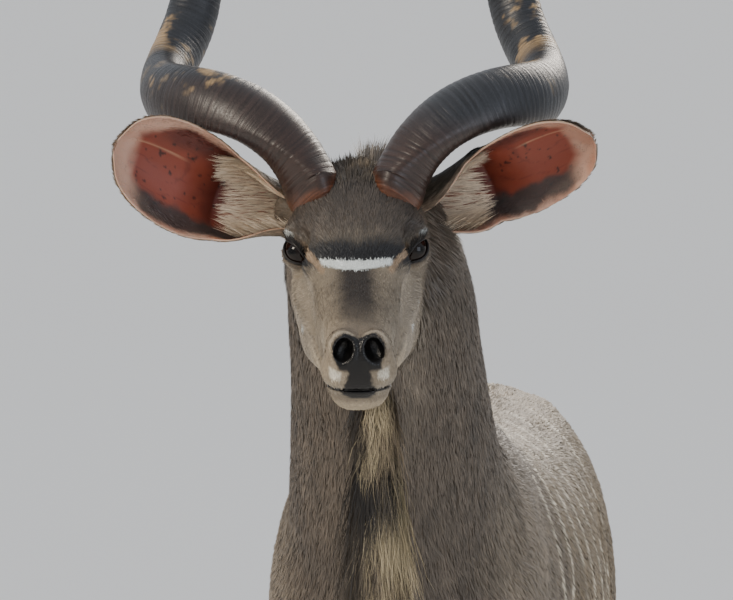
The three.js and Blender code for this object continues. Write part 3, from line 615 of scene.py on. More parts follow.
# %% [markdown]
# The face needs finer squares than the flanks. Blender's subdivide cuts only the chosen edges and closes
# the border with triangles, so the skin stays one closed mesh. After each cut the new vertices go down onto
# the field again, and the nostrils and the mouth come out a step sharper.

# %% Finer squares on the face


def finer_where(mesh, chosen):
    """Cuts every edge whose two ends are chosen into two, and carries the mesh onto the field."""
    work = bmesh.new()
    work.from_mesh(mesh)
    work.verts.ensure_lookup_table()
    edges = [edge for edge in work.edges if chosen[edge.verts[0].index] and chosen[edge.verts[1].index]]
    bmesh.ops.subdivide_edges(work, edges=edges, cuts=1, use_grid_fill=True)
    work.to_mesh(mesh)
    work.free()
    points = points_of(mesh)
    near = inside_box(points, "head", 10)
    points[near] = onto_surface(points[near], body_field, steps=3)
    mesh.vertices.foreach_set("co", points.ravel())
    return points


def points_of(mesh):
    """A mesh's vertices as an array."""
    flat = np.zeros(len(mesh.vertices) * 3)
    mesh.vertices.foreach_get("co", flat)
    return flat.reshape(-1, 3)


skin_mesh = bpy.data.meshes.new("skin")
skin_mesh.from_pydata(skin_points, [], skin_faces.tolist())
FACE_FROM, MUZZLE_FROM, EYE_AREA = -60, 205, 42
on_head = into(skin_points, HEAD_FRAME)
on_face = on_head[:, 1] > FACE_FROM
skin_points = finer_where(skin_mesh, on_face & inside_box(skin_points, "head", 8))
on_head = into(skin_points, HEAD_FRAME)
finest = (on_head[:, 1] > MUZZLE_FROM) | (np.linalg.norm(in_eye(on_head), axis=-1) < EYE_AREA)
skin_points = finer_where(skin_mesh, finest & inside_box(skin_points, "head", 8))
skin_mesh.update()
skin_mesh.calc_loop_triangles()
print("skin:", len(skin_mesh.vertices), "vertices,", len(skin_mesh.loop_triangles), "triangles")

# %% [markdown]
# ## Colours of the coat
# A greater kudu is grey-brown, with a white bar between the eyes, a dark band above it and a dark nose
# bridge below it, white lips and chin, eight thin white stripes down each flank, a white line along the
# spine, and tawny lower legs. One function gives the colour at any point, from distances in the animal's
# own directions. The skin and every tuft ask the same function, so the markings run through both.

# %% Colours and smooth noise


def linear(hex_colour):
    """An sRGB hex colour as linear red, green and blue."""
    value = np.array([int(hex_colour[i:i + 2], 16) for i in (1, 3, 5)]) / 255
    return np.where(value <= 0.04045, value / 12.92, ((value + 0.055) / 1.055) ** 2.4)


# Numbers that scramble a corner of the noise's grid, one for each direction, one for the seed, one for all.
SCRAMBLE, SCRAMBLE_SEED, SCRAMBLE_ALL = np.array([127.1, 311.7, 74.7]), 17.3, 43758.5453


def grain(points, size, seed=0):
    """Smooth noise from -1 to 1: random numbers at the corners of a grid of that size, blended between."""
    q = np.asarray(points, float) / size
    corner = np.floor(q)
    f = q - corner
    f = f * f * (3 - 2 * f)
    total = np.zeros(q.shape[:-1])
    for i in (0, 1):
        for j in (0, 1):
            for k in (0, 1):
                c = corner + (i, j, k)
                wave = np.sin(c @ SCRAMBLE + SCRAMBLE_SEED * seed) * SCRAMBLE_ALL
                weight = np.prod(np.where([i, j, k], f, 1 - f), axis=-1)
                total += weight * (wave - np.floor(wave))
    return 2 * total - 1


def paint(base, colour, mask):
    """A colour laid over a base by a mask from 0 to 1."""
    return base + (linear(colour) - base) * np.clip(mask, 0, 1)[:, None]


def plain(hex_colour, count):
    """Rows of one colour."""
    return np.tile(linear(hex_colour), (count, 1))


def layered(colour, layers):
    """A base colour with layers laid over it in turn, each a colour and its mask."""
    for over, mask in layers:
        colour = paint(colour, over, mask)
    return colour


GREY_BROWN, FLANK_BROWN, SHOULDER_GREY, BELLY_GREY = "#4e453b", "#6b5e4a", "#6f6455", "#5a5147"
STRIPE_WHITE, INNER_WHITE, THROAT_DARK = "#b9b09d", "#b3a893", "#1d1713"
LEG_TAWNY, PASTERN_BROWN, TAIL_BLACK = "#7d6344", "#3d2f24", "#1b1816"
FACE_TAN, CHEEK_PALE, NOSE_SIDE, MUZZLE_BROWN = "#746a5b", "#83796a", "#8c7f6c", "#6f6558"
FOREHEAD, FOREHEAD_STREAK, BAND_BLACK, BRIDGE_DARK = "#39322c", "#2b2622", "#0d0d10", "#26211e"
BAR_WHITE, LIP_WHITE, CHIN_CREAM, ARC_PALE = "#bcc1bf", "#bab4a5", "#978a74", "#ab9f8c"
STREAK_TAN, EYE_SHADE, NOSE_BLACK, LID_BLACK = "#84705a", "#463c33", "#0a0909", "#141110"
# Each stripe: its place along the back, and how far it leans back for each millimetre down.
STRIPES = [
    (118, 0.05), (205, 0.02), (292, 0.06), (384, -0.02), (478, 0.03), (566, 0.05), (662, 0.0), (770, 0.04),
]
STRIPE_HALF, SPINE_HALF, SPINE_RUN = 4.2, 9, (60, 1040)
# The photo looks down the face. A place in the head stands as high in it as these shares of up and along
# say, and the streak and the spot over the eye are given by how far aside and how high they show there.
SEEN_UP, SEEN_ALONG = 0.875, 0.485
EYE_STREAK = np.array([(80, 14), (66, 5), (52, -9), (42, -20)])
EYE_SPOT = (83, 18)
CHEEK_SPOTS = [(52, -46), (84, -58)]
BAR_ALONG, BAR_BEND, BAR_HALF, BAR_TAPER, BAR_END = 91, 0.0085, 7.4, 0.05, 45
NOSTRIL_BLACK = np.array([14.5, 23, 18.5])

# %% The colour at any point


def body_colour(points):
    """Trunk, neck, legs and tail: grey-brown, with stripes, spine line, leg bands, and a dark throat."""
    x, y, z = points.T
    aside = np.abs(x)
    colour = layered(plain(GREY_BROWN, len(points)), [
        (SHOULDER_GREY, 0.8 * band(y, -40, 120, 140) * band(z, 1080, 140, 160)),
        (FLANK_BROWN, ramp(y, 80, 300)),
        (BELLY_GREY, 0.8 * ramp(z, 900, 800) * ramp(y, -330, -200)),
    ])
    waver = 9 * grain(points * (1, 0.2, 1), 150, 3)
    broken = ramp(grain(points, 46, 5), -0.75, -0.3)
    for place, lean in STRIPES:
        line = y - place - lean * (1330 - z) - waver
        reach = ramp(z, 905 + 60 * np.sin(place), 985) * ramp(z, 1362, 1325)
        colour = paint(colour, STRIPE_WHITE, 0.88 * band(line, 0, STRIPE_HALF, 5) * reach * broken)
    first, last = SPINE_RUN
    spine = band(x, 0, SPINE_HALF, 10) * ramp(y, first, first + 80) * ramp(y, last, last - 60)
    leg = np.clip(band(y, -10, 95, 30) + ramp(y, 690, 780), 0, 1) * ramp(aside, 30, 56)
    tail = ramp(y, 1100, 1112) * ramp(aside, 46, 36) * ramp(z, 1290, 1250)
    from_tail, down_tail, _ = into(points, TAIL_FRAME).T
    on_neck = into(points, NECK_FRAME)
    throat = band(on_neck[:, 0], -6, 7, 6) * ramp(on_neck[:, 2], -60, -110) * ramp(y, -250, -330)
    return layered(colour, [
        (STRIPE_WHITE, 0.75 * spine * ramp(z, 1250, 1310)),
        (LEG_TAWNY, 0.72 * leg * ramp(z + 60 * grain(points, 60, 6), 740, 420)),
        (INNER_WHITE, 0.8 * (ramp(aside, 104, 82) * leg * band(z, 660, 110, 60))),
        (PASTERN_BROWN, leg * band(z, 128, 14, 30) * ramp(grain(points, 30, 2), -1.2, 0.2)),
        (PASTERN_BROWN, leg * ramp(z, 78, 60)),
        (INNER_WHITE, tail * ramp(np.abs(from_tail), 10, 18) * ramp(down_tail, 60, 120)),
        (TAIL_BLACK, tail * ramp(down_tail, 345, 385)),
        (THROAT_DARK, 0.95 * throat),
    ])


def face_colour(points, base):
    """The head's markings, by the head's own directions, laid over the body's colour. Where the nose, the
    lips and the lids are black, the skin is bare and wet, and that mask comes back too."""
    own = into(points, HEAD_FRAME)
    x, along, up = own.T
    aside = np.abs(x)
    # Places with ragged edges, as hair gives them, and places with softer ones.
    ragged = 2.6 * grain(points, 9, 11) + 1.6 * grain(points, 4, 12)
    a, s = along + ragged, aside + ragged
    soft = along + 0.4 * ragged
    skull = melt(part_field(own, HEAD), part_field(own, JAW), JAW_MELT)
    mine = ramp(part_field(into(points, NECK_FRAME), NECK) - skull + ragged, -2, 8)
    head = ramp(along, -120, -70) * mine
    top = ramp(a, 66, 20) * ramp(up, 8, 30)
    dark_streaks = ramp(grain(stacked(x, along * 0.15, up * 0.3), 5, 13), 0.0, 0.6)
    brow = ramp(a + 0.25 * s, 34, 66) * ramp(soft, 90, 83) * ramp(s + 0.85 * (a - 60), 75, 64)
    on_top = ramp(up, -24, -4)
    bridge = ramp(a, 88, 97) * ramp(s, 37, 9) * ramp(up, -8, 8)
    bar = band(soft, BAR_ALONG - BAR_BEND * aside**2, BAR_HALF - BAR_TAPER * aside, 1.6)
    colour = layered(base, [
        (FACE_TAN, 0.92 * ramp(along, -34, 34) * head),
        (FOREHEAD, 0.9 * head * top),
        (FOREHEAD_STREAK, 0.5 * head * dark_streaks * top),
        (CHEEK_PALE, 0.7 * ramp(s, 44, 60) * band(a, 120, 60, 50) * ramp(up, 10, -10)),
        (NOSE_SIDE, 0.7 * ramp(a, 150, 210) * ramp(s, 10, 30) * ramp(up, -34, -18)),
        (BAND_BLACK, brow * ramp(up, -2, 12) * on_top),
        (BRIDGE_DARK, 0.97 * bridge * (1 - 0.5 * ramp(a, 140, 215))),
        (BAR_WHITE, bar * ramp(s, BAR_END, BAR_END - 4) * on_top),
    ])

    eye_points = in_eye(own)
    outside, from_eye = lid_opening(eye_points), np.linalg.norm(eye_points, axis=-1)
    in_front = (eye_points[:, 2] > 0) & (from_eye < 60)
    height = SEEN_UP * up - SEEN_ALONG * along
    streak = ramp(line_distance(stacked(aside, height), EYE_STREAK) + 0.3 * ragged, 5.6, 2.8)
    from_spot = np.hypot(0.7 * (aside - EYE_SPOT[0]), height - EYE_SPOT[1])
    dots = sum(ramp(np.hypot(a - at, up - high + ragged), 8, 3) for at, high in CHEEK_SPOTS)
    lip = ramp(np.hypot((along - 255) * 0.6, up + 13 + 0.5 * ragged), 9, 5.5) * band(s, 29, 5, 3.5)
    under = ramp(np.abs(up + 34 + 0.22 * (along - 262)), 13, 6) * band(along, 215, 40, 24)
    from_nostril = np.linalg.norm((both(own) - NOSTRIL["center"]) / NOSTRIL_BLACK, axis=-1)
    colour = layered(colour, [
        (STREAK_TAN, 0.85 * streak * ramp(up, -30, -16) * head),
        (BAR_WHITE, 0.85 * ramp(from_spot + 0.4 * ragged, 6.4, 3.4) * in_front),
        (EYE_SHADE, 0.75 * ramp(from_eye, 34, 26) * ramp(outside, 8, 3)),
        (BAR_WHITE, 0.55 * dots * ramp(s, 40, 56)),
        (MUZZLE_BROWN, 0.6 * band(a, 226, 16, 22) * ramp(s, 42, 30) * ramp(up, -14, 6)),
        (CHIN_CREAM, 0.9 * ramp(up, -50, -60) * ramp(along, 105, 150) * mine),
        (LIP_WHITE, lip),
        (LIP_WHITE, 0.16 * under),
        (ARC_PALE, 0.7 * band(from_nostril, 1.26, 0.08, 0.1) * ramp(up, 14, 24)),
    ])

    pad = ramp(along + 0.3 * up, 243, 249) * band(up, 13, 17, 6) * ramp(s + 0.2 * (up - 8), 27, 22)
    strip = ramp(along, 244, 250) * ramp(s + 0.25 * (up + 22), 19, 14) * band(up, -22, 20, 4)
    mouth = ramp(line_distance(own[:, 1:], MOUTH_LINE), 4.5, 2.5) * ramp(along, 160, 205)
    gum = ramp(along, 236, 248) * band(up, -41, 5, 4) * ramp(s, 19, 11)
    nostril = ramp(from_nostril, 1.12, 0.9)
    rim = 3.4 + 2.2 * (eye_points[:, 1] > 0)
    lids = ramp(outside, rim, rim - 1.6) * in_front * ramp(from_eye, 36, 30)
    duct = ramp(np.hypot((eye_points[:, 0] - 23) * 0.55, eye_points[:, 1] + 2.5), 5, 3) * in_front
    black = np.clip(pad + strip + mouth + gum + nostril + lids + duct, 0, 1) * mine
    return paint(colour, NOSE_BLACK, black), black


def coat_colour(points):
    """The whole animal's colour at points in its own frame, in linear light, and how bare and wet it is."""
    body = body_colour(points)
    near = inside_box(points, "head", 10) & (into(points, HEAD_FRAME)[:, 1] > -125)
    wet = np.zeros(len(points))
    body[near], wet[near] = face_colour(points[near], body[near])
    tone = 1 + 0.1 * grain(points, 70, 21) + 0.09 * grain(points, 22, 22) + 0.06 * grain(points, 8, 23)
    return np.clip(body * np.where(wet > 0.5, 1, tone)[:, None], 0, 1), wet


skin_colour, skin_wet = coat_colour(skin_points)
print("mean skin colour:", skin_colour.mean(0).round(3), "wet vertices:", int((skin_wet > 0.5).sum()))

# %% [markdown]
# ## Materials
# Each material is named for what it is. A material's fixed numbers sit on its shader, and its pattern comes
# from the piece's own place or from a colour kept in the mesh.

# %% A helper that adds a node, and one that starts a material


def set_inputs(tree, node, inputs):
    """Links each named input to a socket, or fills it with a value."""
    for name, value in inputs.items():
        if isinstance(value, bpy.types.NodeSocket):
            tree.links.new(value, node.inputs[name])
        else:
            node.inputs[name].default_value = value


def add_node(tree, kind, inputs=None, output=0, **settings):
    """Adds a node, sets what it is told, links or fills its inputs, and gives one of its outputs."""
    made = tree.nodes.new(kind)
    for name, value in settings.items():
        setattr(made, name, value)
    set_inputs(tree, made, inputs or {})
    return made.outputs[output]


def start_material(name, **shader_values):
    """A material with one Principled shader, its fixed values set on the shader's own sockets."""
    material = bpy.data.materials.new(name)
    material.use_nodes = True
    shader = material.node_tree.nodes["Principled BSDF"]
    for socket, value in shader_values.items():
        shader.inputs[socket.replace("_", " ")].default_value = value
    return material, material.node_tree, shader


# Noise seldom leaves the middle of its span, so this much of it is spread out.
MIDDLE = {"From Min": 0.3, "From Max": 0.7}

# Living skin and dry hair are both a dull, slightly glossy protein: an IOR near 1.5 and a high roughness.
hide, tree, shader = start_material("haired_skin", IOR=1.45, Specular_IOR_Level=0.3)
place = add_node(tree, "ShaderNodeTexCoord", output="Object")
colour = add_node(tree, "ShaderNodeAttribute", attribute_name="coat")
wet = add_node(tree, "ShaderNodeAttribute", output="Fac", attribute_name="wet")
# Hair shafts are 0.1 mm across. They are drawn 1.2 mm across, so that they show.
along_hair = add_node(tree, "ShaderNodeMapping", {"Vector": place, "Scale": (830, 830, 150)})
hairs = add_node(tree, "ShaderNodeTexNoise", {"Vector": along_hair, "Scale": 1.0, "Detail": 3.0})
# The nose's pebbles are about 1.6 mm across.
pebbles = add_node(tree, "ShaderNodeTexVoronoi", {"Vector": place, "Scale": 620.0})
relief = add_node(tree, "ShaderNodeMix", {"Factor": wet, "A": hairs, "B": pebbles}, data_type="FLOAT")
shade = add_node(tree, "ShaderNodeMapRange", {"Value": hairs, **MIDDLE, "To Min": 0.62, "To Max": 1.0})
tinted = add_node(tree, "ShaderNodeVectorMath", {0: colour, 1: shade}, operation="MULTIPLY")
bump = add_node(tree, "ShaderNodeBump", {"Height": relief, "Strength": 0.5, "Distance": 0.0008})
gloss = add_node(tree, "ShaderNodeMapRange", {"Value": wet, "To Min": 0.72, "To Max": 0.24})
set_inputs(tree, shader, {"Base Color": tinted, "Roughness": gloss, "Normal": bump})

# Guard hairs lie in tufts. Their colour is kept in the mesh, dark at the root and pale at the tip.
hair, tree, shader = start_material("guard_hair", IOR=1.55, Specular_IOR_Level=0.35, Roughness=0.55)
colour = add_node(tree, "ShaderNodeAttribute", attribute_name="coat")
place = add_node(tree, "ShaderNodeTexCoord", output="Object")
fine = add_node(tree, "ShaderNodeTexNoise", {"Vector": place, "Scale": 900.0, "Detail": 1.0})
shade = add_node(tree, "ShaderNodeMapRange", {"Value": fine, "To Min": 0.82, "To Max": 1.18})
tinted = add_node(tree, "ShaderNodeVectorMath", {0: colour, 1: shade}, operation="MULTIPLY")
set_inputs(tree, shader, {"Base Color": tinted})
print("materials:", hide.name, hair.name)

# %% [markdown]
# ## The skin
# The skin mesh already stands in millimetres. It goes into the part's frame, gets its colours, and stands
# for the head, the neck, the trunk, the legs and the tail.

# %% Putting a mesh in its place
LEGS = [f"leg_{place}_{side}" for place in ("front", "hind") for side in SIDES]
FLESH = ["head", "neck", "torso", "tail"] + LEGS


def finish_piece(mesh, name, material, smooth=True, replaced=()):
    """Carries a mesh from the animal's millimetres to the part's metres, and lets it ride on the body."""
    points = (points_of(mesh) + SHIFT) * MM
    mesh.vertices.foreach_set("co", points.astype(np.float32).ravel())
    mesh.polygons.foreach_set("use_smooth", np.full(len(mesh.polygons), smooth))
    mesh.materials.append(material)
    mesh.update()
    made = bpy.data.objects.new(name, mesh)
    bpy.context.scene.collection.objects.link(made)
    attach(made, "root")
    if replaced:
        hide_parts(*replaced)
    return made


def new_mesh(name, points, faces):
    """A mesh from an array of points and an array of triangles or squares."""
    mesh = bpy.data.meshes.new(name)
    faces = np.asarray(faces, np.int32)
    mesh.vertices.add(len(points))
    mesh.vertices.foreach_set("co", np.asarray(points, np.float32).ravel())
    mesh.loops.add(faces.size)
    mesh.loops.foreach_set("vertex_index", faces.ravel())
    mesh.polygons.add(len(faces))
    mesh.polygons.foreach_set("loop_start", np.arange(0, faces.size, faces.shape[1], dtype=np.int32))
    mesh.update(calc_edges=True)
    return mesh


def keep_colour(mesh, name, colours):
    """Keeps a linear colour at each vertex, as an attribute."""
    rows = np.ones((len(mesh.vertices), 4), np.float32)
    rows[:, :3] = colours
    mesh.color_attributes.new(name, "FLOAT_COLOR", "POINT").data.foreach_set("color", rows.ravel())


def keep_number(mesh, name, values):
    """Keeps a number at each vertex, as an attribute."""
    mesh.attributes.new(name, "FLOAT", "POINT").data.foreach_set("value", np.asarray(values, np.float32))


keep_colour(skin_mesh, "coat", skin_colour)
keep_number(skin_mesh, "wet", skin_wet)
finish_piece(skin_mesh, "skin", hide, replaced=FLESH)
print("skin replaces", len(FLESH), "solids")

# %% [markdown]
# ## The coat
# Short hair is too fine to model one by one. A tuft here stands for a lock of hairs that lie together: a
# thin blade, wide at its root and pointed, bent back onto the body. Its middle line is a quadratic curve
# from the root, out by the lift, and along the lie of the coat. Hundreds of thousands of them, each a few
# triangles, are worked out as whole arrays.

# %% Blades from arrays
RANDOM = np.random.default_rng(7)
BAKE_PATCH = 0.003
# The elbow stands this share of the length out, and the tip rises by this share of the lift.
ELBOW_OUT, TIP_RISE = 0.55, 0.6
# The power by which a blade narrows, how often a wave turns along it, and how pale its tip is.
NARROWING, WAVE_TURNS, PALE_TIP = 1.6, 1.2, 1.12


def risen(lies, normals, lifts):
    """Directions that leave the skin at the angle of the lift."""
    return lies * np.cos(lifts)[:, None] + normals * np.sin(lifts)[:, None]


def laid(lies, normals, share=1.0):
    """Directions laid onto the skin: a share of what points off it is taken away."""
    return unit(lies - share * (lies * normals).sum(1, keepdims=True) * normals)


def blades(roots, normals, lies, lengths, widths, lifts, steps, roll=0.35, wave=0.0):
    """Vertices and triangles of many blades at once. A lone width or lift serves them all.
    The curve is (1-t)^2 root + 2t(1-t) elbow + t^2 tip. The elbow leaves the skin at the lift angle, and
    the tip lies lower. The width falls from the root to a point. A wave bends the blade sideways, more at
    its tip."""
    count = len(roots)
    widths, lifts, _ = np.broadcast_arrays(widths, lifts, lengths)
    elbow = roots + risen(lies, normals, lifts) * (lengths * ELBOW_OUT)[:, None]
    tip = roots + risen(lies, normals, lifts * TIP_RISE) * lengths[:, None]
    sideways = unit(np.cross(lies, normals))
    angle = RANDOM.uniform(-roll, roll, count)[:, None]
    across = sideways * np.cos(angle) + normals * np.sin(angle)
    t = np.linspace(0, 1, steps + 1)[None, :-1, None]
    middle = (1 - t) ** 2 * roots[:, None] + 2 * t * (1 - t) * elbow[:, None] + t * t * tip[:, None]
    if wave:
        swing = wave * t * np.sin(2 * np.pi * (WAVE_TURNS * t + RANDOM.random((count, 1, 1))))
        middle = middle + swing * sideways[:, None]
    wide = (1 - t**NARROWING) * widths[:, None, None] / 2
    left, right = middle - across[:, None] * wide, middle + across[:, None] * wide
    points = np.concatenate([np.stack([left, right], axis=2).reshape(count, -1, 3), tip[:, None]], axis=1)
    pattern = []
    for a in range(0, 2 * steps - 2, 2):
        pattern += [(a, a + 1, a + 3), (a, a + 3, a + 2)]
    pattern.append((2 * steps - 2, 2 * steps - 1, 2 * steps))
    faces = np.array(pattern)[None] + (np.arange(count) * (2 * steps + 1))[:, None, None]
    return points, faces.reshape(-1, 3)


def bake_map(mesh, places, steps):
    """The OFBake map: each blade is a small patch at its root's place on the skin's own unwrap."""
    across = np.tile([-0.5, 0.5], steps)
    along = np.repeat(np.arange(steps) / steps - 0.5, 2)
    patch = stacked(np.append(across, 0.0), np.append(along, 0.5)) * BAKE_PATCH
    corners = (places[:, None] + patch[None]).reshape(-1, 2)
    layer = mesh.uv_layers.new(name="OFBake")
    index = np.zeros(len(mesh.loops), np.int32)
    mesh.loops.foreach_get("vertex_index", index)
    layer.data.foreach_set("uv", corners[index].astype(np.float32).ravel())


def coat_piece(name, roots, normals, lies, lengths, widths, lifts, tones, places, steps, slot="hide",
               dark=0.62, **shape):
    """One piece of coat: blades with their colours and their bake map, riding on the body."""
    points, faces = blades(roots, normals, lies, lengths, widths, lifts, steps, **shape)
    mesh = new_mesh(name, points.reshape(-1, 3), faces)
    share = np.repeat(np.arange(steps + 1) / steps, 2)[:-1]
    dark_to_pale = dark + (PALE_TIP - dark) * share
    colours = tones[:, None, :] * dark_to_pale[None, :, None]
    keep_colour(mesh, "coat", np.clip(colours, 0, 1).reshape(-1, 3))
    bake_map(mesh, places, steps)
    finish_piece(mesh, name, hair)
    print(name, len(roots), "tufts,", len(mesh.polygons), "triangles")


# %% [markdown]
# The lie of the coat is a direction at every point: back and down over the trunk, down the neck, down the
# legs. On the face it parts at the white bar: above the bar the hair runs up to the horns, below it down to
# the nose, and the cheeks' hair runs back to the jaw's angle. How long and how thick the coat is also
# changes from place to place: a few millimetres on the muzzle, and two centimetres along the neck.

# %% Lie, length and spacing of the coat
NECK_LIE = unit(NECK_FOOT - NECK_HEAD) + (0, 0, -0.35)
CHEST_LIE, LEG_LIE = np.array([0.0, 0.35, -1.0]), np.array([0.0, 0.12, -1.0])
# Round the eyes the hair is short, as far out as this.
ROUND_EYE = 34


def mixed(a, b, share):
    """Row by row, a where the share is 0 and b where it is 1, and between them a blend."""
    share = share[:, None]
    return a * (1 - share) + b * share


def on_legs(names):
    """Which of the names belong to legs."""
    return np.char.startswith(names, "front") | np.char.startswith(names, "hind")


def nearest_part(points):
    """For each point, which body part's own field is the lowest."""
    best = np.full(len(points), FAR_OUT)
    part = np.zeros(len(points), int)
    for number, (name, own, _, _) in enumerate(BODY):
        near = inside_box(points, name, REACH_MARGIN)
        field = np.full(len(points), FAR_OUT)
        field[near] = part_field(into(points[near], own), PARTS[name])
        if name == "head":
            field[near] = np.minimum(field[near], part_field(into(points[near], own), JAW))
        part[field < best] = number
        best = np.minimum(best, field)
    return part


def lie_of(points, part):
    """The direction in which the hair lies at each point, before it is laid onto the skin."""
    x, y, z = points.T
    names = PART_NAMES[part]
    lie = stacked(0.06 * np.sign(x), 1 - 0.35 * ramp(z, 1300, 900), -0.75 * ramp(z, 1370, 1180))
    lie = mixed(lie, CHEST_LIE, ramp(y, -120, -260))
    lie[names == "neck"] = NECK_LIE
    legs = on_legs(names)
    lie[legs] = mixed(lie, LEG_LIE, ramp(z, 1150, 760))[legs]
    lie[names == "tail"] = unit(TAIL_TIP - TAIL_ROOT)
    aside, along, up = into(points, HEAD_FRAME).T
    apart = np.sign(aside) * ramp(np.abs(aside), 0, 60)
    above_bar, below_bar = stacked(0.35 * apart, -1.0, 0.1), stacked(0.25 * apart, 1.0, -0.15)
    cheek, muzzle = stacked(0.15 * apart, -0.55, -0.8), stacked(0.2 * apart, 0.45, -0.85)
    on_top = mixed(above_bar, below_bar, ramp(along, 84, 104))
    face = mixed(on_top, mixed(cheek, muzzle, ramp(along, 110, 190)), ramp(up, 18, -18))
    on_head = ramp(along, -150, -90) * (names == "head")
    return unit(mixed(lie, face @ HEAD_FRAME["axes"], on_head) + 1e-6)


def coat_measures(points, part):
    """Length, width, spacing and lift of the tufts at each point, in millimetres and radians."""
    z = points[:, 2]
    names = PART_NAMES[part]
    fore = points[:, 1] < 120
    length, lift = 17 - 4 * ramp(z, 1000, 800), np.full(len(points), 0.2)
    spacing, width = np.where(fore, 3.3, 4.0), np.where(fore, 2.9, 3.4)
    neck = names == "neck"
    length[neck], spacing[neck], width[neck], lift[neck] = 21, 2.35, 2.2, 0.24
    legs = on_legs(names)
    short = ramp(z, 900, 500)[legs]
    length[legs], spacing[legs], width[legs] = 14 - 6 * short, 3.7 - 1.2 * short, 3.1 - 1.1 * short
    tail = names == "tail"
    length[tail], spacing[tail], width[tail] = 26, 3.0, 2.2
    head = names == "head"
    own = into(points, HEAD_FRAME)[head]
    aside, along, up = own.T
    fine, crown = ramp(along, 20, 200), ramp(along, -10, -70) * ramp(up, 10, 40)
    by_eye = np.linalg.norm(in_eye(own), axis=1) < ROUND_EYE
    at_bar = band(along, 88, 16, 8) * (np.abs(aside) < 50)
    length[head] = (9.5 - 4.5 * fine + 9 * crown) * (1 - 0.35 * at_bar) * np.where(by_eye, 0.6, 1)
    spacing[head] = np.where(by_eye, 1.6, 1.95 - 0.25 * fine)
    width[head] = 1.5 - 0.4 * fine + 0.3 * crown
    lift[head] = 0.2 + 0.3 * crown
    return length, width, spacing, lift


# %% Roots scattered over the skin
skin_mesh.calc_loop_triangles()
corners = np.zeros(len(skin_mesh.loop_triangles) * 3, np.int32)
skin_mesh.loop_triangles.foreach_get("vertices", corners)
corners = corners.reshape(-1, 3)
skin_normals = np.zeros(len(skin_mesh.vertices) * 3)
skin_mesh.vertex_normals.foreach_get("vector", skin_normals)
skin_normals = skin_normals.reshape(-1, 3)
tri_points = skin_points[corners]
tri_middle = tri_points.mean(1)
tri_sides = tri_points[:, 1:] - tri_points[:, :1]
tri_area = np.linalg.norm(np.cross(tri_sides[:, 0], tri_sides[:, 1]), axis=1) / 2
tri_part = nearest_part(tri_middle)
tri_spacing = coat_measures(tri_middle, tri_part)[2]
for number, name in enumerate(PART_NAMES):
    print(name, "skin:", round(tri_area[tri_part == number].sum() / 1e6, 3), "square metres")
# Hair stays off skin that is barer than this, off the lids' edge, and above the hooves.
BARE_FROM, LID_CLEAR, HOOF_TOP = 0.4, 3.4, 54
FRAMES = {entry[0]: entry[1] for entry in BODY}
# The unwrap of a part runs on past its first and last row by this much.
UNWRAP_PAST = 60


def scatter(chosen):
    """Roots and normals at random places on the chosen triangles, as many as their spacing asks."""
    index = np.nonzero(chosen)[0]
    weight = tri_area[index] / tri_spacing[index] ** 2
    count = int(weight.sum())
    pick = index[np.searchsorted(np.cumsum(weight) / weight.sum(), RANDOM.random(count))]
    u, v = RANDOM.random((2, count))
    over = u + v > 1
    u, v = np.where(over, 1 - u, u), np.where(over, 1 - v, v)
    share = stacked(1 - u - v, u, v)[..., None]
    roots = (skin_points[corners[pick]] * share).sum(1)
    normals = unit((skin_normals[corners[pick]] * share).sum(1))
    return roots, normals, tri_part[pick]


def unwrapped(roots, part, names, halves):
    """Places from 0 to 1 on an unwrap of the parts: across by the angle round a part, up by its length."""
    places = np.zeros((len(roots), 2))
    for strip, name in enumerate(names):
        mine = PART_NAMES[part] == name
        own = into(roots[mine], FRAMES[name])
        first, last = PARTS[name]["rows"][0][0], PARTS[name]["rows"][-1][0]
        side, up = rows_at(PARTS[name], own[:, 1], 2)
        angle = np.arctan2(own[:, 0] - side, own[:, 2] - up)
        turn = np.abs(angle) / np.pi if halves else (angle + np.pi) / (2 * np.pi)
        along = (own[:, 1] - first + UNWRAP_PAST) / (last - first + 2 * UNWRAP_PAST)
        places[mine, 0] = (strip + 0.01 + 0.98 * turn) / len(names)
        places[mine, 1] = 0.01 + 0.98 * np.clip(along, 0, 1)
    return places


def dress(name, names, side=None):
    """Covers the named parts, or one side of them, with tufts."""
    chosen = np.isin(PART_NAMES[tri_part], names)
    if side is not None:
        chosen &= np.sign(into(tri_middle, FRAMES[names[0]])[:, 0]) == side
    roots, normals, part = scatter(chosen)
    colours, bare = coat_colour(roots)
    eye_points = in_eye(into(roots, HEAD_FRAME))
    in_lids = (np.linalg.norm(eye_points, axis=1) < ROUND_EYE) & (eye_points[:, 2] > 0)
    in_lids &= lid_opening(eye_points) < LID_CLEAR
    haired = (bare < BARE_FROM) & ~in_lids & (roots[:, 2] > HOOF_TOP)
    roots, normals, part, colours = roots[haired], normals[haired], part[haired], colours[haired]
    lengths, widths, _, lifts = coat_measures(roots, part)
    wander = stacked(*(grain(roots, 34, seed) for seed in (31, 32, 33)))
    flow = lie_of(roots, part) + 0.2 * wander + RANDOM.normal(0, 0.11, roots.shape)
    lies = laid(flow, normals)
    lengths = lengths * (0.75 + 0.5 * RANDOM.random(len(roots)))
    lifts = lifts * (0.6 + 0.8 * RANDOM.random(len(roots)))
    streak = grain(roots * (1, 1, 0.1), 6.5, 41) + 0.8 * grain(roots * (1, 1, 0.14), 15, 42)
    uneven = np.where(np.isin(PART_NAMES[part], ("neck", "head")), 0.2, 0.15)
    tones = colours * np.exp(uneven * RANDOM.normal(0, 0.8, len(roots)) + 0.2 * streak)[:, None]
    places = unwrapped(roots, part, names, side is not None)
    coat_piece(name, roots - normals * 0.4, normals, lies, lengths, widths, lifts, tones, places, 2)


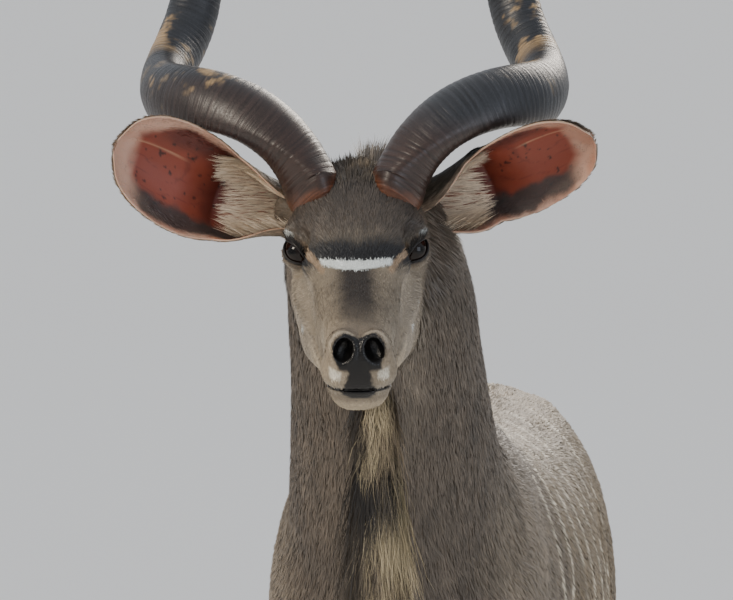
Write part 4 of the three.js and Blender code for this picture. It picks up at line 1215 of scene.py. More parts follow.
for side_name, sign in SIDES.items():
    dress(f"coat_head_{side_name}", ["head"], sign)
    dress(f"coat_neck_{side_name}", ["neck"], sign)
    dress(f"coat_trunk_{side_name}", ["torso"], sign)
dress("coat_front_legs", ["front_right", "front_left"])
dress("coat_hind_legs", ["hind_right", "hind_left", "tail"])

# %% [markdown]
# ## Horns
# Each horn is a helix on an axis that leans back from the face and outward. It turns a little over one and
# a half times, and its radius first opens and then closes. The section is an oval with a keel that runs
# along the whole coil. The sheath grows from the skull in thin cones, and each leaves a ring.

# %% The horn's curve and its section
HORN_BASE = (52.0, -80.0, 40.0)
HORN_HEIGHT = 880.0
HORN_RISE, HORN_SPLAY = np.radians(19), {"right": np.radians(22), "left": np.radians(23.5)}
HORN_START, HORN_TURN, KEEL_TURN = np.radians([-150, 590, 60])
HORN_COIL = (30, 70, 70, 60, 44, 20)
HORN_THICK = (35, 31, 27, 22, 15, 2.5)
HORN_KEEL = (1.36, 1.3, 1.2, 1.12, 1.06, 1)
# The keel's edge is this power of the cosine. One share lifts it, and another flattens its flanks.
EDGE_POWER, EDGE_OUT, EDGE_IN = 6, 0.12, 0.05


def evenly(values, share):
    """Values spread evenly from 0 to 1, blended smoothly at each share."""
    rows = np.column_stack([np.linspace(0, 1, len(values)), values])
    return blended(rows, share)[..., 0]


def horn_grid(side_name, share, turn):
    """Points of a horn's sheath, and the way out of it. At each share of the height h the middle stands at
    h * axis + r(h) * (cos a * outward - sin a * front), where a is the turn of the helix there. Round the
    middle, the section is t -> (k cos t, sin t) times the thickness, k being the keel."""
    side = SIDES[side_name]
    splay = HORN_SPLAY[side_name]
    lean = (side * np.sin(splay), -np.cos(splay) * np.cos(HORN_RISE), np.cos(splay) * np.sin(HORN_RISE))
    axis = unit(np.array(lean) @ HEAD_FRAME["axes"])
    outward = side * HEAD_FRAME["axes"][0]
    outward = unit(outward - (outward @ axis) * axis)
    front = np.cross(axis, outward) * side
    front = front * np.sign(front @ HEAD_FRAME["axes"][2])

    def helix(at):
        angle, radius = HORN_START + HORN_TURN * at, evenly(HORN_COIL, at)
        swing = np.cos(angle)[:, None] * outward - np.sin(angle)[:, None] * front
        return HORN_HEIGHT * at[:, None] * axis + radius[:, None] * swing

    foot = out_of((side * HORN_BASE[0], *HORN_BASE[1:]), HEAD_FRAME)
    middle = helix(share) + foot - helix(np.zeros(1))
    ahead = unit(helix(share + 0.002) - helix(share - 0.002))
    keel_angle = HORN_START + HORN_TURN * share + KEEL_TURN
    across = np.cos(keel_angle)[:, None] * outward - np.sin(keel_angle)[:, None] * front
    across = unit(across - (across * ahead).sum(1, keepdims=True) * ahead)
    over = np.cross(ahead, across)
    thick, keel = evenly(HORN_THICK, share)[:, None], evenly(HORN_KEEL, share)[:, None]
    edge = np.maximum(0, np.cos(turn)) ** EDGE_POWER
    wide = (thick * keel * np.cos(turn) * (1 + EDGE_OUT * edge))[..., None] * across[:, None]
    high = (thick * np.sin(turn) * (1 - EDGE_IN * edge))[..., None] * over[:, None]
    return middle[:, None] + wide + high, unit(wide + high)


# %% Closed meshes from rings


def full_turn(count):
    """Angles spread evenly round a full turn."""
    return np.linspace(0, 2 * np.pi, count, endpoint=False)


def tube_faces(rows, columns):
    """Squares between neighbouring rings of a grid that closes round."""
    at = np.arange(rows * columns).reshape(rows, columns)
    beside = np.roll(at, -1, axis=1)
    return np.stack([at[:-1], beside[:-1], beside[1:], at[1:]], axis=-1).reshape(-1, 4)


def closed_mesh(name, rings, ends=None):
    """A closed mesh from rings of points, its faces turned outward by Blender. With two end points it is a
    tube with a fan at each end, and without them the last ring joins the first."""
    rows, columns = rings.shape[:2]
    flat = rings.reshape(-1, 3)
    work = bmesh.new()
    made = [work.verts.new(p) for p in (flat if ends is None else np.vstack([flat, ends]))]
    for face in tube_faces(rows, columns):
        work.faces.new([made[n] for n in face])
    last = (rows - 1) * columns
    pairs = [(j, (j + 1) % columns) for j in range(columns)]
    if ends is None:
        for j, k in pairs:
            work.faces.new([made[last + j], made[last + k], made[k], made[j]])
    else:
        for start, end in ((0, made[-2]), (last, made[-1])):
            for j, k in pairs:
                work.faces.new([made[start + j], made[start + k], end])
    bmesh.ops.recalc_face_normals(work, faces=work.faces)
    mesh = bpy.data.meshes.new(name)
    work.to_mesh(mesh)
    work.free()
    return mesh


def with_ends(rows):
    """What the points of a closed mesh keep, with the first and the last again for its two end points."""
    return np.vstack([rows, rows[:1], rows[-1:]])


# %% Horn sheath
# Horn is keratin, as dense and as glossy as a fingernail, near black where it is whole, with a painted blue
# sky reflection. Rubbed places lose their dark outer layers and show tan, and they shine; the tan patches
# are partly painted sunlight as well. Its IOR is 1.55.
sheath, tree, shader = start_material("horn_sheath", IOR=1.55, Specular_IOR_Level=0.3)
colour = add_node(tree, "ShaderNodeAttribute", attribute_name="coat")
place = add_node(tree, "ShaderNodeTexCoord", output="Object")
run = add_node(tree, "ShaderNodeAttribute", output="Vector", attribute_name="run")
# Growth lines stand 2.5 to 3.5 mm apart along the horn, and scratches run across them.
lines = add_node(tree, "ShaderNodeTexNoise", {"Vector": run, "Scale": 1.0, "Detail": 2.5})
speck = add_node(tree, "ShaderNodeTexNoise", {"Vector": place, "Scale": 420.0, "Detail": 4.0})
rough = add_node(tree, "ShaderNodeMapRange", {"Value": speck, **MIDDLE, "To Min": 0.3, "To Max": 0.52})
shade = add_node(tree, "ShaderNodeMapRange", {"Value": lines, **MIDDLE, "To Min": 0.62, "To Max": 1.3})
mottle = add_node(tree, "ShaderNodeMapRange", {"Value": speck, **MIDDLE, "To Min": 0.8, "To Max": 1.2})
tinted = add_node(tree, "ShaderNodeVectorMath", {0: colour, 1: shade}, operation="MULTIPLY")
tinted = add_node(tree, "ShaderNodeVectorMath", {0: tinted, 1: mottle}, operation="MULTIPLY")
ridges = add_node(tree, "ShaderNodeBump", {"Height": lines, "Strength": 0.8, "Distance": 0.0011})
grit = {"Height": speck, "Strength": 0.35, "Distance": 0.0004, "Normal": ridges}
bump = add_node(tree, "ShaderNodeBump", grit)
set_inputs(tree, shader, {"Base Color": tinted, "Roughness": rough, "Normal": bump})

# %% Both horns
HORN_ROWS, HORN_COLUMNS = 580, 44
# The sheath goes on this deep under the forehead's skin and narrows there.
ROOT_ROWS, ROOT_DEPTH, ROOT_TAPER = 20, 40.0, 0.45
RING_SPACING, RING_HEIGHT, RING_SHARP = 8.5, 0.9, 0.7
# The black's blue tint is a painted sky reflection, and the rubbed tan is partly painted sunlight.
HORN_BLACK_AND_SKY_REFLECTION, HORN_BROWN, HORN_FOOT, HORN_ORANGE = "#1d1f23", "#271b16", "#271a15", "#512e1c"
HORN_RUBBED_AND_SUNLIT, HORN_SCUFFED, HORN_TIP = "#8d7553", "#6b5d49", "#b7a684"


def horn_colour(points, run, turn, rings):
    """Near black with a painted blue sky reflection, brown near the head, orange-brown at the skin, tan
    patches that are partly rubbed horn and partly painted sunlight, and pale at the tip.
    """
    from_skin = body_field(points)
    blotches = grain(points, 48, 61) + 0.45 * grain(points, 13, 62) + 0.3 * grain(points, 5, 63)
    # Tan patches, partly rubbed horn and partly painted sunlight: on one side in the band near the head, all
    # round further up.
    where = band(run, 235, 55, 50) * ramp(np.cos(turn - 2.4), 0.1, 0.7) + 0.9 * band(run, 500, 90, 60)
    scuffed = ramp(grain(points, 20, 64) + 0.5 * grain(points, 6, 65), 0.62, 0.95) * ramp(run, 150, 260)
    # The near-black base carries a painted blue sky reflection.
    colour = layered(plain(HORN_BLACK_AND_SKY_REFLECTION, len(points)), [
        (HORN_BROWN, 0.8 * ramp(np.sin(turn + 0.8), 0.1, 0.9) * ramp(run, 420, 120)),
        (HORN_FOOT, ramp(from_skin, 120, 50)),
        (HORN_ORANGE, 0.85 * ramp(from_skin + 3 * grain(points, 8, 4), 17, 5)),
        (HORN_RUBBED_AND_SUNLIT, 0.85 * ramp(blotches, 0.12, 0.5) * np.clip(where, 0, 1)),
        (HORN_SCUFFED, 0.6 * scuffed),
    ])
    return paint(colour * (0.8 + 0.35 * rings)[:, None], HORN_TIP, 0.9 * ramp(run, 1035, 1085))


for side_name in SIDES:
    turn = full_turn(HORN_COLUMNS)
    points, out = horn_grid(side_name, np.linspace(0, 1, HORN_ROWS - ROOT_ROWS), turn[None])
    middle = points.mean(1)
    deep = np.linspace(1, 0, ROOT_ROWS, endpoint=False)[:, None, None]
    narrow = 1 - ROOT_TAPER * deep**2
    root = middle[0] + (points[:1] - middle[0]) * narrow - ROOT_DEPTH * deep * unit(middle[1] - middle[0])
    points, out = np.concatenate([root, points]), np.concatenate([np.repeat(out[:1], ROOT_ROWS, 0), out])
    middle = points.mean(1)
    run = np.concatenate([[0], np.cumsum(np.linalg.norm(np.diff(middle, axis=0), axis=1))]) - ROOT_DEPTH
    run_grid, turn_grid = np.broadcast_arrays(run[:, None], turn[None])
    wobble = 2.4 * np.cos(turn_grid + 0.5) + 4 * grain(points, 60, 51)
    uneven = 3 * grain(stacked(run_grid, 0, 0), 23, 52)
    rings = np.abs(np.sin(np.pi * ((run_grid + wobble + uneven) / RING_SPACING))) ** RING_SHARP
    wear = ramp(run_grid, 980, 620) * (0.55 + 0.45 * grain(points, 34, 53))
    points = points + out * ((rings - 0.6) * RING_HEIGHT * wear - 0.5)[..., None]
    points = points + out * (0.5 * grain(points, 14, 54) * wear)[..., None]
    ends = np.array([points[0].mean(0), points[-1].mean(0) + unit(middle[-1] - middle[-2]) * 1.5])
    mesh = closed_mesh(f"horn_{side_name}_sheath", points, ends)
    colours = horn_colour(points.reshape(-1, 3), run_grid.ravel(), turn_grid.ravel(), rings.ravel())
    keep_colour(mesh, "coat", with_ends(colours))
    along_run = stacked((run_grid + wobble) / 3.0, points[..., 0] / 60, points[..., 2] / 60)
    along_run = with_ends(along_run.reshape(-1, 3)).astype(np.float32)
    mesh.attributes.new("run", "FLOAT_VECTOR", "POINT").data.foreach_set("vector", along_run.ravel())
    finish_piece(mesh, f"sheath_{side_name}", sheath, replaced=[f"horn_{side_name}"])
    print("horn", side_name, "length along the curve:", round(float(run[-1])), "mm")

# %% [markdown]
# ## Eyes
# The eyeball is a ball with the cornea standing out in front. The iris is nearly black, with a level oval
# pupil. A rim of wet black skin follows the lids' opening, and lashes stand along the upper lid.

# %% Eyeballs, lid rims and lashes
# A wet cornea has an IOR of 1.38 and no roughness to speak of: it mirrors the lamps.
cornea, tree, shader = start_material("wet_eye", IOR=1.38, Specular_IOR_Level=0.32, Roughness=0.05)
colour = add_node(tree, "ShaderNodeAttribute", attribute_name="coat")
set_inputs(tree, shader, {"Base Color": colour})
# Wet skin is dark and shines softly.
wet_skin, tree, shader = start_material("wet_skin", IOR=1.4, Specular_IOR_Level=0.3, Roughness=0.42)
shader.inputs["Base Color"].default_value = (*linear(LID_BLACK), 1)
EYE_ROWS, EYE_COLUMNS, POLE_GAP = 40, 64, 0.03
BALL_RADIUS, CORNEA_BULGE = EYE_RADIUS - 0.3, 1.3
EYE_BROWN, IRIS_DARK, PUPIL_BLACK = "#1c110c", "#120a07", "#040303"
PUPIL_LONG, PUPIL_HIGH, IRIS_REACH = 7.5, 4.2, 13
RIM_POINTS, RIM_COLUMNS, RIM_THICK, RIM_WIDE = 96, 10, 1.3, 1.5
LASHES = 138


def head_point(own_points, side):
    """Points of the head's left half, carried to either half and to the animal's frame."""
    return out_of(np.asarray(own_points, float) * (side, 1, 1), HEAD_FRAME)


def ball_grid(rows, columns, gap):
    """Rings of directions from pole to pole, short of them by a gap, and the angles from the first pole."""
    polar = np.linspace(gap, np.pi - gap, rows)[:, None]
    around = full_turn(columns)[None]
    return stacked(np.sin(polar) * np.cos(around), np.sin(polar) * np.sin(around), np.cos(polar)), polar


def out_of_eye(eye_points):
    """Points in the left eye's own directions, in the head's frame. It undoes in_eye."""
    return EYE + np.asarray(eye_points, float) @ EYE_AXES


for side_name, side in SIDES.items():
    ball, polar = ball_grid(EYE_ROWS, EYE_COLUMNS, POLE_GAP)
    radius = BALL_RADIUS + CORNEA_BULGE * ramp(polar, 0.72, 0.1)
    ends = np.array([[0, 0, BALL_RADIUS + CORNEA_BULGE], [0, 0, -BALL_RADIUS]])
    eye_points = np.vstack([(radius[..., None] * ball).reshape(-1, 3), ends])
    x, y, z = eye_points.T
    away = np.hypot(x, y)
    fibres = 0.7 + 0.6 * np.abs(grain(stacked(np.arctan2(y, x) * 14, away * 0.4, 0), 1, 71))
    pupil = ramp(np.hypot(x / PUPIL_LONG, y / PUPIL_HIGH), 1.1, 0.9) * (z > 0)
    colours = paint(plain(EYE_BROWN, len(away)), IRIS_DARK, ramp(away, 16, 12))
    colours = paint(colours * np.where(away < IRIS_REACH, fibres, 1)[:, None], PUPIL_BLACK, pupil)
    carried = head_point(out_of_eye(eye_points), side)
    mesh = closed_mesh(f"eyeball_{side_name}", carried[:-2].reshape(ball.shape), carried[-2:])
    keep_colour(mesh, "coat", colours)
    finish_piece(mesh, f"eyeball_{side_name}", cornea, replaced=[f"eye_{side_name}"])

    # The rim's middle line is the almond's edge, lifted onto a ball a little larger than the eye.
    t = full_turn(RIM_POINTS)
    x = LID_LENGTH / 2 * np.cos(t)
    y = LID_HEIGHT * (1 - (2 * x / LID_LENGTH) ** 2) * np.where(np.sin(t) > 0, UPPER_LID, -1)
    line = stacked(x, y, np.sqrt(np.maximum((EYE_RADIUS + 1.0) ** 2 - x**2 - y**2, 9)))
    outward = unit(line)
    sideways = np.cross(unit(np.roll(line, -1, axis=0) - np.roll(line, 1, axis=0)), outward)
    ring = full_turn(RIM_COLUMNS)[None, :, None]
    round_line = np.cos(ring) * outward[:, None] + RIM_WIDE * np.sin(ring) * sideways[:, None]
    rim = head_point(out_of_eye(line[:, None] + RIM_THICK * round_line), side)
    finish_piece(closed_mesh(f"lid_rim_{side_name}", rim), f"lid_rim_{side_name}", wet_skin)

    share = RANDOM.uniform(-0.95, 0.55, LASHES)
    x = LID_LENGTH / 2 * share
    y = UPPER_LID * LID_HEIGHT * (1 - share**2) + 0.8
    root = stacked(x, y, np.sqrt((EYE_RADIUS + 2.2) ** 2 - x**2 - y**2))
    lie = unit(stacked(share * 0.8 - 0.25, 0.75, 0.5) + RANDOM.normal(0, 0.13, root.shape))
    roots, tips = head_point(out_of_eye(root), side), head_point(out_of_eye(root + lie), side)
    normals = unit(roots - head_point(EYE, side))
    lies = laid(unit(tips - roots), normals, 0.3)
    points, faces = blades(roots, normals, lies, RANDOM.uniform(8, 15, LASHES), 0.7, 0.5, 4, roll=1.2)
    mesh = new_mesh(f"lashes_{side_name}", points.reshape(-1, 3), faces)
    finish_piece(mesh, f"lashes_{side_name}", wet_skin)
print("eyes, rims and", LASHES, "lashes each")

# %% [markdown]
# ## Ears
# An ear is a leaf-shaped sheet, rolled into a funnel at its root and open like a cup further out. The
# outline gives how far its upper and lower edge reach at each share of its length. Its inside is nearly
# bare: red skin with small dark spots, a pale midrib, a pale broad rim and a dark band at the lower edge.

# %% The ear's sheet
EAR_BASE = (76.0, -110.0, -10.0)
EAR_ROOT, EAR_LENGTH, EAR_WALL = 0.14, 241.0, 3.0
EAR_OUTLINE = [(0, 24, 30), (0.12, 25, 40), (0.3, 34, 62), (0.5, 52, 75), (0.7, 58, 70), (0.86, 50, 54),
               (0.95, 33, 34), (1, 9, 9)]
EAR_RISE, EAR_FORWARD = np.radians(20), np.radians(18)
EAR_TWIST = {"right": np.radians(-4), "left": np.radians(-38)}
ROOT_CURL, TIP_CURL = 2.55, 0.82
EAR_ROWS, EAR_COLUMNS, LIP_OVER = 120, 84, 1.006
BACK_HAIRS, DOWN_HAIRS, FRINGE_HAIRS = 10500, 5200, 6400
# The darkest reds inside are painted shadow: under the overhanging upper edge, and deep toward the root.
EAR_RED, EAR_UPPER_SHADOW, EAR_SHADOW, EAR_VEIN, EAR_SPOT = "#71301f", "#3f140d", "#43150e", "#4a170f", "#220b08"
EAR_RIB, EAR_RIM, EAR_FLUSH, EAR_BAND, EAR_FUNNEL = "#a57f64", "#b08e7b", "#96644f", "#2b2928", "#6f5a4a"
EAR_BACK, BACK_ROOT, BACK_TOP, BACK_RIM, EAR_EDGE = "#4d463d", "#6d6252", "#33302b", "#9b8672", "#a28874"
FRINGE_CREAM, FRINGE_STAIN = "#d6c7b2", "#7a3c2b"


def ear_axes(side_name):
    """The ear's directions: along it, toward its upper edge, and out of its open side."""
    side, twist = SIDES[side_name], EAR_TWIST[side_name]
    view = np.array([np.sin(HEAD_YAW), -np.cos(HEAD_YAW), 0.0])
    lateral = side * HEAD_FRAME["axes"][0]
    along = unit(lateral * np.cos(EAR_RISE) * np.cos(EAR_FORWARD) + Z * np.sin(EAR_RISE)
                 + view * np.cos(EAR_RISE) * np.sin(EAR_FORWARD))
    facing = unit(view - (view @ along) * along)
    upper = unit(Z - (Z @ along) * along)
    over = upper * np.cos(twist) - facing * np.sin(twist)
    return along, over, facing * np.cos(twist) + upper * np.sin(twist)


def ear_points(side_name, share, across, depth):
    """Points of the ear's sheet. The section at each share is an arc: across runs from -1 at the lower edge
    to 1 at the upper, and bends by the curl, which opens from 146 to 47 degrees along the ear."""
    along, over, facing = ear_axes(side_name)
    root = out_of((SIDES[side_name] * EAR_BASE[0], *EAR_BASE[1:]), HEAD_FRAME)
    outline = blended(EAR_OUTLINE, share)
    above, below = outline[..., 0], outline[..., 1]
    curl = ROOT_CURL + (TIP_CURL - ROOT_CURL) * ramp(share, 0, 0.62)
    half, middle, bend = (above + below) / 2, (above - below) / 2, across * curl
    radius = half / np.sin(np.minimum(curl, np.pi / 2)) * 0.98
    outer = radius + depth
    rise = middle + outer * np.sin(bend)
    open_side = radius * np.cos(np.minimum(curl, 1.5)) - outer * np.cos(bend)
    root = root + EAR_LENGTH * share[..., None] * along
    return root + rise[..., None] * over + open_side[..., None] * facing


def edge_distance(share, across):
    """How far a place on the ear is from its edge, in millimetres."""
    outline = blended(EAR_OUTLINE, share)
    half = (outline[..., 0] + outline[..., 1]) / 2
    return np.minimum((1 - np.abs(across)) * half * 1.15, (1 - share) * EAR_LENGTH)


def inner_ear_colour(points, share, across):
    """Red skin with dark spots, painted shadow under the upper edge and toward the root, the midrib, the
    pale rim and the dark lower band.
    """
    blur = 0.05 * grain(points, 24, 81) + 0.03 * grain(points, 9, 82)
    # Under the overhanging upper edge the inside is painted darker, as the shadow that the edge casts.
    upper = ramp(across + blur, 0.3, 0.62) * ramp(share, 0.86, 0.66) * ramp(share, 0.2, 0.36)
    veins = ramp(np.abs(grain(stacked(share * 6 + across, across * 7, 0), 1, 83)), 0.12, 0.02)
    spots = ramp(grain(points, 5.5, 84) + 0.25 * grain(points, 2.5, 85), 0.62, 0.78)
    rib = band(across - 0.24 - 0.08 * share, 0, 0.006, 0.024) * ramp(share, 0.55, 0.68)
    from_edge, wider = edge_distance(share, across), ramp(share, 0.55, 0.9)
    rim = ramp(from_edge + 90 * blur, 12 + 30 * wider, 4 + 16 * wider)
    dark = band(across + 1.4 * blur, -0.74, 0.11, 0.15) * band(share, 0.5, 0.25, 0.14)
    return layered(plain(EAR_RED, len(points)), [
        (EAR_UPPER_SHADOW, 0.85 * upper),
        (EAR_SHADOW, 0.8 * ramp(share + blur, 0.5, 0.34)),
        (EAR_VEIN, 0.4 * veins),
        (EAR_SPOT, 0.9 * spots * ramp(from_edge, 12, 24)),
        (EAR_RIB, 0.55 * rib),
        (EAR_RIM, 0.93 * rim),
        (EAR_FLUSH, 0.5 * (band(grain(points, 30, 86), 0.3, 0.2, 0.3) * rim)),
        (EAR_BAND, 0.9 * dark),
        (EAR_FUNNEL, 0.6 * ramp(share, 0.3, 0.12)),
    ])


def outer_ear_colour(points, share, across):
    """Dark grey short hair, paler toward the edges and the root."""
    colour = layered(plain(EAR_BACK, len(points)), [
        (BACK_ROOT, ramp(share, 0.3, 0.05)),
        (BACK_TOP, 0.6 * ramp(across, 0.4, 0.9)),
    ])
    colour = colour * (1 + 0.2 * grain(points, 12, 87))[:, None]
    return paint(colour, BACK_RIM, 0.6 * ramp(edge_distance(share, across), 6, 2))


# %% Both ears
# The ear's skin is thin and damp inside, so light passes a few millimetres into it.
ear_skin, tree, shader = start_material("ear_skin", IOR=1.4, Roughness=0.5, Subsurface_Weight=0.25,
                                        Subsurface_Scale=0.003)
shader.inputs["Subsurface Radius"].default_value = (1.0, 0.35, 0.2)
colour = add_node(tree, "ShaderNodeAttribute", attribute_name="coat")
place = add_node(tree, "ShaderNodeTexCoord", output="Object")
pores = add_node(tree, "ShaderNodeTexNoise", {"Vector": place, "Scale": 700.0, "Detail": 3.0})
bump = add_node(tree, "ShaderNodeBump", {"Height": pores, "Strength": 0.4, "Distance": 0.0004})
set_inputs(tree, shader, {"Base Color": colour, "Normal": bump})


def ear_hair(side_name, name, share, across, inner, heading, lengths, width, lifts, tones, steps, **shape):
    """Hair rooted on the ear's sheet, on its inside or its outside, pointing along a heading in share and
    across, with its bake map laid out over the ear's own share and across."""
    depth = np.full(len(share), 0.2 if inner else EAR_WALL + 0.2)
    roots = ear_points(side_name, share, across, depth)
    below = ear_points(side_name, share, across, depth - 1)
    normals = unit(roots - below) * (-1 if inner else 1)
    ahead = ear_points(side_name, share + heading[:, 0] * 0.01, across + heading[:, 1] * 0.01, depth)
    lies = laid(unit(ahead - roots), normals)
    round_ear, up_ear = (across + 1) / 2, (share + EAR_ROOT) / (1 + EAR_ROOT)
    places = stacked(0.02 + 0.46 * round_ear + (0.5 if inner else 0), 0.02 + 0.96 * up_ear)
    coat_piece(name, roots, normals, lies, lengths, width, lifts, tones, places, steps, "ear_hide", **shape)


for side_name in SIDES:
    rows, columns = np.linspace(-EAR_ROOT, 1, EAR_ROWS), np.linspace(-1, 1, EAR_COLUMNS)
    share, across = np.meshgrid(rows, columns, indexing="ij")
    ripple = 0.5 * grain(stacked(share * 9, across * 9, 0), 1, 88)
    inner = ear_points(side_name, share, across, 0.3 + 0.5 * ripple)
    outer = ear_points(side_name, share, across, EAR_WALL + ripple)
    low_lip = ear_points(side_name, share[:, :1], across[:, :1] * LIP_OVER, EAR_WALL / 2)
    high_lip = ear_points(side_name, share[:, -1:], across[:, -1:] * LIP_OVER, EAR_WALL / 2)
    rings = np.concatenate([low_lip, inner, high_lip, outer[:, ::-1]], axis=1)
    mesh = closed_mesh(f"ear_{side_name}", rings, np.array([rings[0].mean(0), rings[-1].mean(0)]))
    flat_share, flat_across = share.ravel(), across.ravel()
    inner_colours = inner_ear_colour(inner.reshape(-1, 3), flat_share, flat_across).reshape(inner.shape)
    outer_colours = outer_ear_colour(outer.reshape(-1, 3), flat_share, flat_across).reshape(outer.shape)
    lip = plain(EAR_EDGE, EAR_ROWS)[:, None]
    colours = np.concatenate([lip, inner_colours, lip, outer_colours[:, ::-1]], axis=1)
    keep_colour(mesh, "coat", with_ends(colours.reshape(-1, 3)))
    finish_piece(mesh, f"ear_sheet_{side_name}", ear_skin, replaced=[f"ear_{side_name}"])

    share, across = RANDOM.uniform(-0.06, 0.985, BACK_HAIRS), RANDOM.uniform(-1, 1, BACK_HAIRS)
    colours = outer_ear_colour(ear_points(side_name, share, across, EAR_WALL), share, across)
    heading = stacked(1.0, 0.25 * across + RANDOM.normal(0, 0.3, BACK_HAIRS))
    tones = colours * np.exp(0.18 * RANDOM.normal(0, 1, BACK_HAIRS))[:, None]
    lengths = RANDOM.uniform(5, 9, BACK_HAIRS) * (1 + 0.5 * ramp(share, 0.5, 0.3))
    lifts = 0.14 + 0.3 * ramp(share, 0.5, 0.34)
    ear_hair(side_name, f"ear_back_hair_{side_name}", share, across, False, heading, lengths, 1.7, lifts,
             tones, 2)

    # Short pale down grows on the rim.
    share, across = RANDOM.uniform(0.0, 0.985, DOWN_HAIRS), RANDOM.uniform(-1, 1, DOWN_HAIRS)
    near_rim = RANDOM.random(DOWN_HAIRS) < ramp(edge_distance(share, across), 26 + 20 * share, 3)
    share, across = share[near_rim], across[near_rim]
    colours = inner_ear_colour(ear_points(side_name, share, across, 0), share, across) * 1.1
    heading = stacked(0.6, -0.5 * np.sign(across)) + RANDOM.normal(0, 0.25, (len(share), 2))
    ear_hair(side_name, f"ear_down_{side_name}", share, across, True, heading,
             RANDOM.uniform(4, 8, len(share)), 1.0, 0.1, colours, 2)

    # Long cream hair stands at the inner upper edge, and half of it fans out of the root.
    share = RANDOM.uniform(0.0, 0.36, FRINGE_HAIRS)
    across = 0.99 - 0.62 * RANDOM.random(FRINGE_HAIRS) ** 1.3
    low_fan = RANDOM.random(FRINGE_HAIRS) < 0.5
    share[low_fan] = RANDOM.uniform(-0.04, 0.24, low_fan.sum())
    across[low_fan] = RANDOM.uniform(-0.97, 0.75, low_fan.sum())
    cream = linear(FRINGE_CREAM) * np.exp(0.12 * RANDOM.normal(0, 1, (FRINGE_HAIRS, 1)))
    stained = (RANDOM.random(FRINGE_HAIRS) < 0.16) & low_fan & (across > -0.4)
    cream[stained] = linear(FRINGE_STAIN)
    heading = stacked(1.0, np.where(low_fan, 0.5 * across - 0.6, -1.1))
    heading = heading + RANDOM.normal(0, 0.16, heading.shape)
    lengths, lifts = RANDOM.uniform(18, 36, FRINGE_HAIRS), RANDOM.uniform(0.08, 0.4, FRINGE_HAIRS)
    ear_hair(side_name, f"ear_fringe_{side_name}", share, across, True, heading, lengths, 1.25, lifts,
             cream, 3, dark=0.85)

# %% [markdown]
# ## Hooves
# Each foot has two toes in horn, and behind the fetlock two small dewclaws. A toe follows the same table of
# sections as the solid. For each direction round the toe, halving finds where the solid's field is zero.
# Growth rings run round the wall, and the sole is worn flat.

# %% Hoof horn
# Hoof horn is dull dry keratin: brown-black, with growth rings some 4 mm apart and fine lines downward.
hoof_horn, tree, shader = start_material("hoof_horn", IOR=1.55, Specular_IOR_Level=0.4)
colour = add_node(tree, "ShaderNodeAttribute", attribute_name="coat")
place = add_node(tree, "ShaderNodeTexCoord", output="Object")
down = add_node(tree, "ShaderNodeMapping", {"Vector": place, "Scale": (900, 900, 90)})
fibres = add_node(tree, "ShaderNodeTexNoise", {"Vector": down, "Scale": 1.0, "Detail": 3.0})
rough = add_node(tree, "ShaderNodeMapRange", {"Value": fibres, "To Min": 0.38, "To Max": 0.62})
shade = add_node(tree, "ShaderNodeMapRange", {"Value": fibres, **MIDDLE, "To Min": 0.75, "To Max": 1.2})
tinted = add_node(tree, "ShaderNodeVectorMath", {0: colour, 1: shade}, operation="MULTIPLY")
bump = add_node(tree, "ShaderNodeBump", {"Height": fibres, "Strength": 0.5, "Distance": 0.0005})
set_inputs(tree, shader, {"Base Color": tinted, "Roughness": rough, "Normal": bump})
TOE_ROWS, TOE_COLUMNS, TOE_HEIGHT, TOE_REACH = 46, 72, 49.7, 90.0
DEWCLAW = {"height": 112.0, "aside": 14.0, "back": 27.0, "size": np.array([8.46, 9.4, 12.0]), "lean": 0.35}
HOOF_BLACK, HOOF_CROWN, HOOF_WORN, DEWCLAW_BLACK = "#2d2621", "#5b4a38", "#6a5a48", "#26201c"


def halved(outside, low_end, high_end, rounds):
    """Where a test turns from inside to outside between two arrays of ends, found by halving."""
    for _ in range(rounds):
        middle = (low_end + high_end) / 2
        past = outside(middle)
        high_end, low_end = np.where(past, middle, high_end), np.where(past, low_end, middle)
    return (low_end + high_end) / 2


def toe_points_at(reach):
    """Points that far from the middle of the toe's section, in each direction round it."""
    row = blended(TOE["rows"], heights)
    return stacked(row[..., 0] + np.cos(turn) * reach, heights, row[..., 1] + np.sin(turn) * reach)


heights, turn = np.meshgrid(np.linspace(0, TOE_HEIGHT, TOE_ROWS), full_turn(TOE_COLUMNS), indexing="ij")
reach = halved(lambda at: part_field(toe_points_at(at), TOE, 0.0) > 0, np.zeros(turn.shape),
               np.full(turn.shape, TOE_REACH), 24)
rings = np.sin(heights * 2 * np.pi / 4.3 + 0.6 * np.cos(turn)) + 0.6 * np.sin(heights * 2 * np.pi / 7.1 + 1)
rings = 0.16 * rings * ramp(heights, 2, 9) * ramp(heights, 49, 42)
toe_points = toe_points_at(reach - 0.6 + rings - 2.2 * ramp(heights, 2.2, 0))
toe_ends = np.array([[0, 0.0, 6.0], [0, TOE_HEIGHT, 0]])
ball, _ = ball_grid(18, 24, 0.06)
claw = stacked(ball[..., 0], ball[..., 1] - DEWCLAW["lean"] * ball[..., 2], ball[..., 2]) * DEWCLAW["size"]
claw_ends = np.array([[0, -DEWCLAW["lean"], 1], [0, DEWCLAW["lean"], -1]]) * DEWCLAW["size"]
